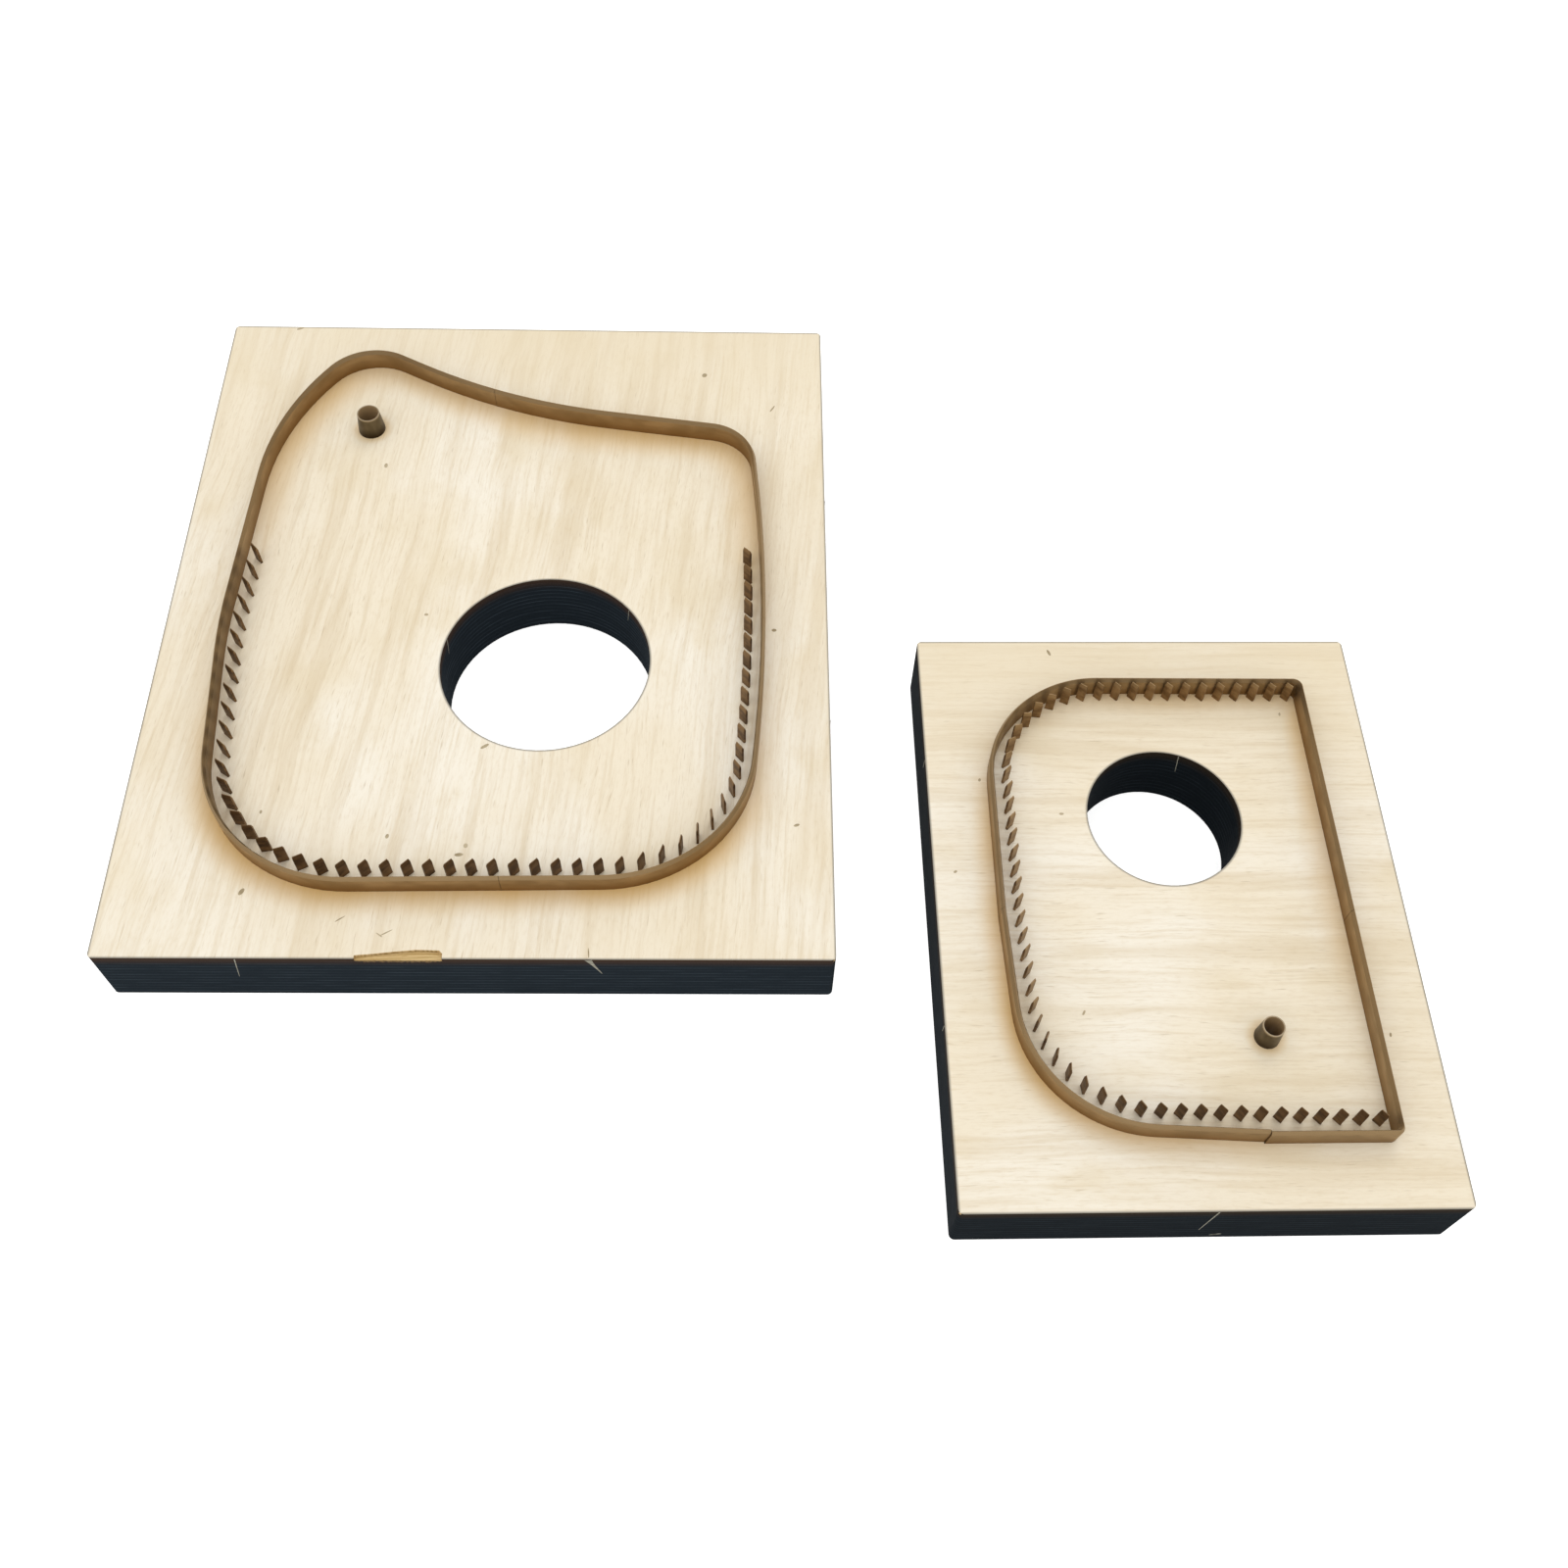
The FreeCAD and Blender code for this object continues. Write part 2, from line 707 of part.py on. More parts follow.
def add_tube(doc, die):
    """The punch: a tube through the whole board, bevelled outside to a round cutting edge."""
    size, name = die.size, die.name
    body = doc.addObject("PartDesign::Body", f"{name}_punch_tube")
    ring = add_sketch(body, f"{name}_tube_ring")
    outside, bore = f"{name}_tube_diameter", f"{name}_tube_bore_diameter"
    draw_circle(ring, die, "tube", size(outside), f"Sizes.{outside}")
    draw_circle(ring, die, "tube", size(bore), f"Sizes.{bore}")
    pad = body.newObject("PartDesign::Pad", f"{name}_tube_pad")
    pad.Profile = ring
    pad.setExpression("Length", "Sizes.rule_height")
    doc.recompute()
    radius, height = size(outside) / 2, size("rule_height")

    def is_top_rim(edge):
        """True for the outer circle at the top."""
        round_edge = isinstance(edge.Curve, Part.Circle) and abs(edge.Curve.Radius - radius) < TOUCH
        return round_edge and abs(edge.CenterOfMass.z - height) < TOUCH

    bevel = body.newObject("PartDesign::Chamfer", f"{name}_tube_bevel")
    bevel.Base = (pad, edge_names(pad.Shape, is_top_rim))
    bevel.ChamferType = "Two distances"
    bevel.FlipDirection = True
    wall = f"(Sizes.{outside} - Sizes.{bore}) / 2"
    bevel.setExpression("Size", f"{wall} - Sizes.tube_rim_width")
    bevel.setExpression("Size2", "Sizes.tube_bevel_height")
    doc.recompute()
    set_place(body, die)
    return body


def build(doc):
    """All pieces of both dies, in the order of the list in the report."""
    sheet = add_sheet(doc)

    def size(alias):
        """A driving dimension by its name."""
        return float(sheet.get(alias))

    pieces = []
    for die in (large_die(size), small_die(size)):
        pieces.append(add_board(doc, die))
        pieces += [add_rule(doc, die, name) for name in die.rules]
        pieces.append(add_tube(doc, die))
        pieces += add_teeth(doc, die)
    for piece in pieces:
        piece.Label = piece.Name
    doc.recompute()
    return pieces


def check(doc, pieces):
    """Stops the script if anything failed."""
    for item in doc.Objects:
        if "Invalid" in item.State or "Error" in item.State:
            raise RuntimeError(f"{item.Label} failed: {item.State}")
    for piece in pieces:
        if piece.Shape.isNull() or not piece.Shape.isValid() or not piece.Shape.Solids:
            raise RuntimeError(f"{piece.Label} has no valid shape")


def main():
    """Builds the set and writes one file for each piece."""
    doc = FreeCAD.newDocument("leather_cutting_dies")
    pieces = build(doc)
    check(doc, pieces)
    os.makedirs("parts", exist_ok=True)
    for piece in pieces:
        shape = piece.Shape
        shape.exportStep(f"parts/{piece.Label}.step")
        print(f"{piece.Label}: {len(shape.Solids)} solids, {shape.Volume:.1f} mm3")


main()
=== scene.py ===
"""Visual model of a set of two leather cutting dies.

Each die is a plywood board with cutting rule bent to a closed outline, a row of slanted stitch teeth,
a punch tube and a round push-out hole. Fields are in millimetres unless their names say otherwise,
and become metres where a mesh or a socket takes them.
"""

import logging
import math
import random
from dataclasses import dataclass
from enum import Enum
from typing import Any

import bmesh
import bpy
from mathutils import Euler, Matrix, Vector
from mathutils.bvhtree import BVHTree


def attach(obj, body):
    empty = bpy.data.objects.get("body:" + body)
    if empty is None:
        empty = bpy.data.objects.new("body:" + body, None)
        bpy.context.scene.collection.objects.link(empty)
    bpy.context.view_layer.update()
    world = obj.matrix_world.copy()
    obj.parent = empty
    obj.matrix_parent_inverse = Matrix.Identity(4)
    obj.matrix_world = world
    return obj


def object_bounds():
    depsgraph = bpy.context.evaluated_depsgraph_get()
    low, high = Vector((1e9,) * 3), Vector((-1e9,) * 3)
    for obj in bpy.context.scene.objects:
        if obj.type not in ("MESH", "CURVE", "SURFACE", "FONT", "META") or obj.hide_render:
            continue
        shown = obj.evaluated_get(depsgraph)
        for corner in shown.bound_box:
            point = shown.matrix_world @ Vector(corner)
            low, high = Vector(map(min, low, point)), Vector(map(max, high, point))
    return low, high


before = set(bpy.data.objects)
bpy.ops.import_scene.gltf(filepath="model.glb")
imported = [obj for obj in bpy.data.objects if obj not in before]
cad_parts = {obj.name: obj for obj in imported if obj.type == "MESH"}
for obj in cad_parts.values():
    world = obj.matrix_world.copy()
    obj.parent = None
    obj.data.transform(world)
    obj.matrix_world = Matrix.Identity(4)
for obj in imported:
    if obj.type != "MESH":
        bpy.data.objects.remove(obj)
CAD_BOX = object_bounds()

MM = 0.001
LOG = logging.getLogger("cutting_dies")


class Grain(Enum):
    """Which way the fibres of a board's face veneer run."""

    ALONG_DEPTH = 90.0
    ALONG_WIDTH = 0.0


class Body(Enum):
    """The two rigid bodies of the set."""

    LARGE = "large_die"
    SMALL = "small_die"


def linear(code: str) -> tuple[float, float, float, float]:
    """Turns an sRGB hex code into a linear colour.

    Args:
        code: six hex digits after a hash sign.

    Returns:
        Red, green, blue and alpha in linear light.
    """
    shares = [int(code[i : i + 2], 16) / 255 for i in (1, 3, 5)]
    light = [s / 12.92 if s <= 0.04045 else ((s + 0.055) / 1.055) ** 2.4 for s in shares]
    return (light[0], light[1], light[2], 1.0)


def add_node(tree: bpy.types.NodeTree, kind: str, inputs: dict[Any, Any], **settings: Any) -> bpy.types.Node:
    """Adds a node with its settings and links.

    Args:
        tree: the material's or the world's node tree.
        kind: the node's type.
        inputs: socket name or number to a value, or to the output socket that feeds it.
        settings: the node's own properties.

    Returns:
        The new node.
    """
    node = tree.nodes.new(kind)
    for name, value in settings.items():
        setattr(node, name, value)
    for key, value in inputs.items():
        if isinstance(value, bpy.types.NodeSocket):
            tree.links.new(value, node.inputs[key])
        else:
            node.inputs[key].default_value = value
    return node


def new_material(name: str) -> tuple[bpy.types.Material, bpy.types.NodeTree]:
    """Makes an empty node material.

    Args:
        name: the finish's common name.

    Returns:
        The material and its node tree.
    """
    material = bpy.data.materials.new(name)
    material.use_nodes = True
    material.node_tree.nodes.clear()
    return material, material.node_tree


def finish_surface(
    tree: bpy.types.NodeTree,
    colour: bpy.types.NodeSocket,
    roughness: bpy.types.NodeSocket | float,
    relief: bpy.types.NodeSocket,
    relief_mm: float,
    settings: dict[str, bpy.types.NodeSocket | float],
) -> None:
    """Closes a material with its shader and output.

    Args:
        tree: the material's node tree.
        colour: the surface's colour.
        roughness: the surface's roughness.
        relief: height pattern from 0 to 1.
        relief_mm: the height that 1 stands for.
        settings: values of the shader's other sockets.
    """
    bump = add_node(tree, "ShaderNodeBump", {"Strength": 1.0, "Distance": relief_mm * MM, "Height": relief})
    shader = add_node(
        tree,
        "ShaderNodeBsdfPrincipled",
        {"Base Color": colour, "Roughness": roughness, "Normal": bump.outputs[0], **settings},
    )
    add_node(tree, "ShaderNodeOutputMaterial", {"Surface": shader.outputs[0]})


def blend_colour(
    tree: bpy.types.NodeTree,
    share: bpy.types.NodeSocket | float,
    first: bpy.types.NodeSocket | tuple[float, float, float, float],
    second: bpy.types.NodeSocket | tuple[float, float, float, float],
) -> bpy.types.NodeSocket:
    """Blends two colours.

    Args:
        tree: the material's node tree.
        share: how much of the second colour, from 0 to 1.
        first: the colour at 0.
        second: the colour at 1.

    Returns:
        The blended colour.
    """
    return add_node(tree, "ShaderNodeMix", {0: share, 6: first, 7: second}, data_type="RGBA").outputs[2]


def reckon(tree: bpy.types.NodeTree, operation: str, *values: bpy.types.NodeSocket | float) -> bpy.types.NodeSocket:
    """One step of arithmetic.

    Args:
        tree: the material's node tree.
        operation: the step's name.
        values: numbers or sockets, in order.

    Returns:
        The result.
    """
    return add_node(tree, "ShaderNodeMath", dict(enumerate(values)), operation=operation).outputs[0]


def ramp(
    tree: bpy.types.NodeTree, value: bpy.types.NodeSocket, low: float, high: float, top: float = 1.0
) -> bpy.types.NodeSocket:
    """A soft step from 0 to top while a value goes from low to high.

    Args:
        tree: the material's node tree.
        value: what is looked at.
        low: where the step begins; above high, it runs the other way.
        high: where the step ends.
        top: the step's height.

    Returns:
        The step.
    """
    inputs = {"Value": value, "From Min": low, "From Max": high, "To Min": 0.0, "To Max": top}
    return add_node(tree, "ShaderNodeMapRange", inputs, interpolation_type="SMOOTHSTEP").outputs[0]


def streaks(
    tree: bpy.types.NodeTree,
    place: bpy.types.NodeSocket,
    lengths: tuple[float, float, float],
    detail: float,
    warp: float = 0.0,
) -> bpy.types.NodeSocket:
    """Noise drawn out to streaks.

    Args:
        tree: the material's node tree.
        place: coordinates in metres.
        lengths: size of a streak along each axis, in millimetres.
        detail: finer octaves.
        warp: how far the streaks wander.

    Returns:
        A value about one half.
    """
    drawn = add_node(
        tree,
        "ShaderNodeMapping",
        {"Vector": place, "Scale": tuple(1 / (length * MM) for length in lengths)},
    )
    inputs = {"Vector": drawn.outputs[0], "Scale": 1.0, "Detail": detail, "Roughness": 0.6, "Distortion": warp}
    return add_node(tree, "ShaderNodeTexNoise", inputs).outputs["Fac"]


def level_offset(
    tree: bpy.types.NodeTree, place: bpy.types.NodeSocket, middle: tuple[float, float]
) -> bpy.types.NodeSocket:
    """The level part of the way from a point to a place.

    Args:
        tree: the material's node tree.
        place: coordinates in metres.
        middle: the point, in millimetres.

    Returns:
        A vector in metres, with no height.
    """
    centre = (middle[0] * MM, middle[1] * MM, 0.0)
    offset = add_node(tree, "ShaderNodeVectorMath", {0: place, 1: centre}, operation="SUBTRACT").outputs[0]
    return add_node(tree, "ShaderNodeVectorMath", {0: offset, 1: (1.0, 1.0, 0.0)}, operation="MULTIPLY").outputs[0]


@dataclass(frozen=True)
class BoardPlace:
    """Where a board lies: its middle, its turn in degrees and its size."""

    right: float
    back: float
    turn: float
    width: float
    depth: float

    def matrix(self) -> Matrix:
        """From the board's own middle, in millimetres, to the set's frame, in metres."""
        middle = Vector((self.right, self.back, 0))
        return Matrix.Scale(MM, 4) @ Matrix.Translation(middle) @ Matrix.Rotation(math.radians(self.turn), 4, "Z")


@dataclass(frozen=True)
class Hole:
    """A round hole in a board: its middle from the board's own middle, and its radius."""

    right: float
    back: float
    radius: float

    def on_wall(self, angle: float) -> Vector:
        """A place on the hole's wall, in the board's own millimetres."""
        turn = math.radians(angle)
        return Vector((self.right + self.radius * math.cos(turn), self.back + self.radius * math.sin(turn), 0))


@dataclass(frozen=True)
class PaintedShade:
    """Tan painted shade beside the rule and round the tube: the rule's warm shadow and brown reflected light, on the
    side away from the key light.
    """

    centre: tuple[float, float]
    tube: tuple[float, float]
    tube_radius: float
    rules: tuple[str, ...]
    inner_reach: float
    outer_reach: float
    inner_depth: float
    outer_depth: float
    inner_shade_direction: tuple[float, float]
    outer_shade_direction: tuple[float, float]
    samples: int = 240
    height: float = 21.0
    unit: float = 100.0
    tube_reach: float = 2.5
    tube_depth: float = 0.5

    def outline(self) -> list[float]:
        """Distances from the centre to the rule, all the way round.

        Returns:
            One distance for each direction, in units of the radius scale, from -180 to 180 degrees.
        """
        walls = []
        for name in self.rules:
            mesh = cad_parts[name].data
            points = [vertex.co for vertex in mesh.vertices]
            walls.append(BVHTree.FromPolygons(points, [polygon.vertices for polygon in mesh.polygons]))
        origin = Vector((self.centre[0], self.centre[1], self.height)) * MM
        reaches: list[float] = []
        for i in range(self.samples + 1):
            angle = 2 * math.pi * i / self.samples - math.pi
            direction = Vector((math.cos(angle), math.sin(angle), 0))
            hits = [wall.ray_cast(origin, direction)[3] for wall in walls]
            found = [hit for hit in hits if hit is not None]
            reaches.append(min(found) / (self.unit * MM) if found else reaches[-1])
        return reaches

    def mask(self, tree: bpy.types.NodeTree, place: bpy.types.NodeSocket) -> bpy.types.NodeSocket:
        """How much painted shade the face gets.

        Args:
            tree: the material's node tree.
            place: object coordinates.

        Returns:
            0 for wood with no painted shade, up to the full depth at the foot of the rule.
        """
        offset = level_offset(tree, place, self.centre)
        axes = add_node(tree, "ShaderNodeSeparateXYZ", {0: offset})
        radius = add_node(tree, "ShaderNodeVectorMath", {0: offset}, operation="LENGTH").outputs["Value"]
        angle = reckon(tree, "ARCTAN2", axes.outputs[1], axes.outputs[0])
        turn = reckon(tree, "MULTIPLY_ADD", angle, 0.5 / math.pi, 0.5)
        curve = add_node(tree, "ShaderNodeFloatCurve", {"Value": turn})
        line = curve.mapping.curves[0]
        reaches = self.outline()
        line.points[0].location = (0.0, reaches[0])
        line.points[-1].location = (1.0, reaches[-1])
        for i in range(1, self.samples):
            line.points.new(i / self.samples, reaches[i])
        curve.mapping.update()
        gap = reckon(tree, "SUBTRACT", reckon(tree, "MULTIPLY", curve.outputs[0], self.unit * MM), radius)
        outward = add_node(tree, "ShaderNodeVectorMath", {0: offset}, operation="NORMALIZE").outputs[0]
        # The painted shade falls on the side of each length of rule that faces away from the key light.
        shadow_side = []
        for drift in (self.inner_shade_direction, self.outer_shade_direction):
            along = add_node(tree, "ShaderNodeVectorMath", {0: outward, 1: (*drift, 0.0)}, operation="DOT_PRODUCT")
            shadow_side.append(along.outputs["Value"])
        inner = ramp(tree, gap, self.inner_reach * MM, 0.0, self.inner_depth)
        inner = reckon(tree, "MULTIPLY", inner, ramp(tree, shadow_side[0], 0.1, -0.9))
        outer = ramp(tree, gap, -self.outer_reach * MM, 0.0, self.outer_depth)
        outer = reckon(tree, "MULTIPLY", outer, ramp(tree, shadow_side[1], 0.1, 0.8))
        inside = reckon(tree, "GREATER_THAN", gap, 0.0)
        beside = add_node(tree, "ShaderNodeMix", {0: inside, 2: outer, 3: inner}).outputs[0]
        # Painted shade round the foot of the tube.
        from_tube = level_offset(tree, place, self.tube)
        reach = add_node(tree, "ShaderNodeVectorMath", {0: from_tube}, operation="LENGTH").outputs["Value"]
        far = (self.tube_radius + self.tube_reach) * MM
        return reckon(tree, "MAXIMUM", beside, ramp(tree, reach, far, self.tube_radius * MM, self.tube_depth))


@dataclass(frozen=True)
class BirchPlywood:
    """Laser-cut birch plywood: sanded pale face veneer, and edges that the beam left charred near black."""

    name: str
    grain: Grain
    tilt: float
    place: BoardPlace
    painted_shade: PaintedShade
    hole: Hole
    wander: float
    char: str
    glue_line: str
    brown_char: str
    thickness: float = 18.0
    plies: int = 13
    rim_reach: float = 0.6
    rim_share: float = 0.85
    chip_reach: float = 3.0
    brown_reach: float = 4.0
    margin_reach: float = 32.0
    margin_share: float = 0.12
    back_reach: float = 45.0
    back_share: float = 0.55
    light: str = "#FAF2E1"
    pale: str = "#F5E9D1"
    warm: str = "#EADABA"
    fibre: str = "#D6C09A"
    pore: str = "#B8A17C"
    # Colour of the painted shade beside the rule and round the tube.
    painted_shade_tan: str = "#DCB36C"
    singed: str = "#77736A"
    torn: str = "#D9BD8A"
    torn_deep: str = "#B99B68"

    def material(self) -> bpy.types.Material:
        """The finished material.

        Returns:
            One material for the whole board, which tells face from edge by the way the surface points.
        """
        material, tree = new_material(self.name)
        coordinates = add_node(tree, "ShaderNodeTexCoord", {})
        place, normal = coordinates.outputs["Object"], coordinates.outputs["Normal"]
        axes = add_node(tree, "ShaderNodeSeparateXYZ", {0: place})
        height = axes.outputs[2]
        beyond = self.beyond_outline(tree, place)
        upright = reckon(tree, "ABSOLUTE", add_node(tree, "ShaderNodeSeparateXYZ", {0: normal}).outputs[2])
        near_edge = reckon(tree, "COMPARE", beyond, -self.chip_reach / 2 * MM, (self.chip_reach / 2 - 0.2) * MM)
        high = reckon(tree, "GREATER_THAN", height, (self.thickness - 1.0) * MM)
        torn = reckon(tree, "MULTIPLY", near_edge, high)
        face_share = reckon(tree, "MAXIMUM", ramp(tree, upright, 0.4, 0.6), torn)
        face, fibres = self.face(tree, place, height, beyond)
        edge, cuts = self.edge(tree, place, height)
        colour = blend_colour(tree, face_share, edge, face)
        relief = add_node(tree, "ShaderNodeMix", {0: face_share, 2: cuts, 3: fibres}).outputs[0]
        roughness = add_node(tree, "ShaderNodeMix", {0: face_share, 2: 0.75, 3: 0.55}).outputs[0]
        gloss = add_node(tree, "ShaderNodeMix", {0: face_share, 2: 0.01, 3: 0.2}).outputs[0]
        finish_surface(tree, colour, roughness, relief, 0.03, {"Specular IOR Level": gloss})
        return material

    def turned(self, tree: bpy.types.NodeTree, place: bpy.types.NodeSocket, turn: float) -> bpy.types.NodeSocket:
        """Coordinates from the board's middle, along axes turned on from its own.

        Args:
            tree: the material's node tree.
            place: object coordinates.
            turn: degrees from the board's width.

        Returns:
            The new coordinates, in metres.
        """
        middle = (self.place.right * MM, self.place.back * MM, 0)
        inputs = {"Vector": place, "Location": middle, "Rotation": (0, 0, math.radians(turn + self.place.turn))}
        return add_node(tree, "ShaderNodeMapping", inputs, vector_type="TEXTURE").outputs[0]

    def beyond_outline(self, tree: bpy.types.NodeTree, place: bpy.types.NodeSocket) -> bpy.types.NodeSocket:
        """How far a place lies outside the board's outline.

        Args:
            tree: the material's node tree.
            place: object coordinates.

        Returns:
            Metres, below 0 on the board.
        """
        sides = add_node(tree, "ShaderNodeSeparateXYZ", {0: self.turned(tree, place, 0.0)})
        over = [
            reckon(tree, "SUBTRACT", reckon(tree, "ABSOLUTE", sides.outputs[i]), span / 2 * MM)
            for i, span in enumerate((self.place.width, self.place.depth))
        ]
        return reckon(tree, "MAXIMUM", over[0], over[1])

    def edge_and_back_tint(
        self, tree: bpy.types.NodeTree, place: bpy.types.NodeSocket, beyond: bpy.types.NodeSocket
    ) -> bpy.types.NodeSocket:
        """How much warmer and darker the face gets: towards its edges, and most at the back.

        Args:
            tree: the material's node tree.
            place: object coordinates.
            beyond: distance outside the board's outline.

        Returns:
            A share from 0 to 1.
        """
        far = add_node(tree, "ShaderNodeSeparateXYZ", {0: self.turned(tree, place, 0.0)}).outputs[1]
        half = self.place.depth / 2
        back = ramp(tree, far, (half - self.back_reach) * MM, half * MM, self.back_share)
        return reckon(tree, "MAXIMUM", back, ramp(tree, beyond, -self.margin_reach * MM, 0.0, self.margin_share))

    def burnt_rim(
        self, tree: bpy.types.NodeTree, place: bpy.types.NodeSocket, beyond: bpy.types.NodeSocket
    ) -> bpy.types.NodeSocket:
        """The grey line that the beam left along the outline and round the hole.

        Args:
            tree: the material's node tree.
            place: object coordinates.
            beyond: distance outside the board's outline.

        Returns:
            A share from 0 to 1.
        """
        offset = level_offset(tree, self.turned(tree, place, 0.0), (self.hole.right, self.hole.back))
        distance = add_node(tree, "ShaderNodeVectorMath", {0: offset}, operation="LENGTH").outputs["Value"]
        within = reckon(tree, "SUBTRACT", self.hole.radius * MM, distance)
        return ramp(tree, reckon(tree, "MAXIMUM", beyond, within), -self.rim_reach * MM, 0.0, self.rim_share)

    def face(
        self,
        tree: bpy.types.NodeTree,
        place: bpy.types.NodeSocket,
        height: bpy.types.NodeSocket,
        beyond: bpy.types.NodeSocket,
    ) -> tuple[bpy.types.NodeSocket, bpy.types.NodeSocket]:
        """Veneer: growth bands some 4 mm wide that wander, fibres 0.9 mm wide and short dark pores.

        Args:
            tree: the material's node tree.
            place: object coordinates.
            height: height above the underside.
            beyond: distance outside the board's outline.

        Returns:
            Colour and relief.
        """
        along = self.turned(tree, place, self.grain.value + self.tilt)
        wander = reckon(tree, "SUBTRACT", streaks(tree, along, (60, 40, 30), 2.0), 0.5)
        drift = add_node(
            tree, "ShaderNodeCombineXYZ", {1: reckon(tree, "MULTIPLY", wander, self.wander * MM)}
        ).outputs[0]
        figure = add_node(tree, "ShaderNodeVectorMath", {0: along, 1: drift}).outputs[0]
        clouds = streaks(tree, along, (52, 34, 30), 2.0)
        patches = streaks(tree, along, (30, 15, 30), 3.0)
        bands = streaks(tree, figure, (80, 4, 30), 2.0)
        fibres = streaks(tree, figure, (19, 0.9, 8), 3.0)
        pores = streaks(tree, figure, (5, 0.4, 4), 1.0)
        grain = streaks(tree, figure, (2.2, 0.6, 1), 2.0)
        colour = blend_colour(tree, ramp(tree, clouds, 0.35, 0.6), linear(self.light), linear(self.pale))
        colour = blend_colour(tree, ramp(tree, patches, 0.48, 0.75, 0.6), colour, linear(self.warm))
        colour = blend_colour(tree, ramp(tree, bands, 0.48, 0.7, 0.3), colour, linear(self.fibre))
        colour = blend_colour(tree, ramp(tree, fibres, 0.45, 0.72, 0.32), colour, linear(self.fibre))
        colour = blend_colour(tree, ramp(tree, grain, 0.45, 0.8, 0.25), colour, linear(self.fibre))
        colour = blend_colour(tree, ramp(tree, pores, 0.64, 0.85, 0.45), colour, linear(self.pore))
        colour = blend_colour(tree, self.edge_and_back_tint(tree, place, beyond), colour, linear(self.warm))
        # Painted shade: the rule's warm shadow and reflected light beside the rule and round the tube, in tan.
        painted_shade_share = reckon(tree, "MULTIPLY", self.painted_shade.mask(tree, place), ramp(tree, clouds, 0.0, 0.6))
        colour = blend_colour(tree, painted_shade_share, colour, linear(self.painted_shade_tan))
        colour = blend_colour(tree, self.burnt_rim(tree, place, beyond), colour, linear(self.singed))
        chipped = ramp(tree, height, (self.thickness - 0.02) * MM, (self.thickness - 0.1) * MM)
        raw = blend_colour(tree, ramp(tree, fibres, 0.4, 0.6), linear(self.torn), linear(self.torn_deep))
        above = reckon(tree, "GREATER_THAN", height, self.thickness / 2 * MM)
        colour = blend_colour(tree, reckon(tree, "MULTIPLY", chipped, above), colour, raw)
        return colour, fibres

    def edge(
        self, tree: bpy.types.NodeTree, place: bpy.types.NodeSocket, height: bpy.types.NodeSocket
    ) -> tuple[bpy.types.NodeSocket, bpy.types.NodeSocket]:
        """Charred edge: a ply every 1.4 mm with a greyer glue line, browner in the last 4 mm on top.

        Args:
            tree: the material's node tree.
            place: object coordinates.
            height: height above the underside.

        Returns:
            Colour and relief.
        """
        ply = reckon(tree, "FRACT", reckon(tree, "DIVIDE", height, self.thickness / self.plies * MM))
        line = ramp(tree, reckon(tree, "ABSOLUTE", reckon(tree, "SUBTRACT", ply, 0.5)), 0.32, 0.5)
        soot = streaks(tree, place, (9, 9, 0.9), 3.0)
        share = reckon(tree, "MULTIPLY", line, ramp(tree, soot, 0.3, 0.7))
        colour = blend_colour(tree, share, linear(self.char), linear(self.glue_line))
        rim = ramp(tree, height, (self.thickness - self.brown_reach) * MM, self.thickness * MM, 0.9)
        colour = blend_colour(tree, rim, colour, linear(self.brown_char))
        striations = streaks(tree, place, (0.7, 0.7, 14), 1.0)
        return colour, reckon(tree, "MULTIPLY_ADD", line, -0.6, striations)


@dataclass(frozen=True)
class RuleSteel:
    """Tempered steel rule, browned by oil and heat: darker by painted shade where it leaves the board, pale on the
    ground bevel.
    """

    name: str = "browned_rule_steel"
    body: str = "#B29873"
    dark: str = "#957D5A"
    foot: str = "#8C6C40"
    ground: str = "#967F5E"
    board_top: float = 18.0
    shoulder: float = 22.7

    def material(self) -> bpy.types.Material:
        """The finished material.

        Returns:
            Brown metal with fine lengthways streaks, painted shade at the foot and a pale bevel.
        """
        material, tree = new_material(self.name)
        place = add_node(tree, "ShaderNodeTexCoord", {}).outputs["Object"]
        height = add_node(tree, "ShaderNodeSeparateXYZ", {0: place}).outputs[2]
        streak = streaks(tree, place, (22, 22, 0.5), 3.0)
        stain = streaks(tree, place, (9, 9, 5), 2.0)
        colour = blend_colour(tree, ramp(tree, stain, 0.3, 0.7), linear(self.body), linear(self.dark))
        colour = blend_colour(tree, ramp(tree, streak, 0.45, 0.7, 0.4), colour, linear(self.dark))
        # Painted shade: the wall darkens towards the foot, where it meets the board.
        foot = ramp(tree, height, (self.board_top + 4.5) * MM, (self.board_top - 0.5) * MM, 0.8)
        colour = blend_colour(tree, foot, colour, linear(self.foot))
        ground = ramp(tree, height, (self.shoulder - 0.1) * MM, (self.shoulder + 0.1) * MM)
        colour = blend_colour(tree, ground, colour, linear(self.ground))
        finish_surface(tree, colour, 0.5, streak, 0.01, {"Metallic": 1.0})
        return material


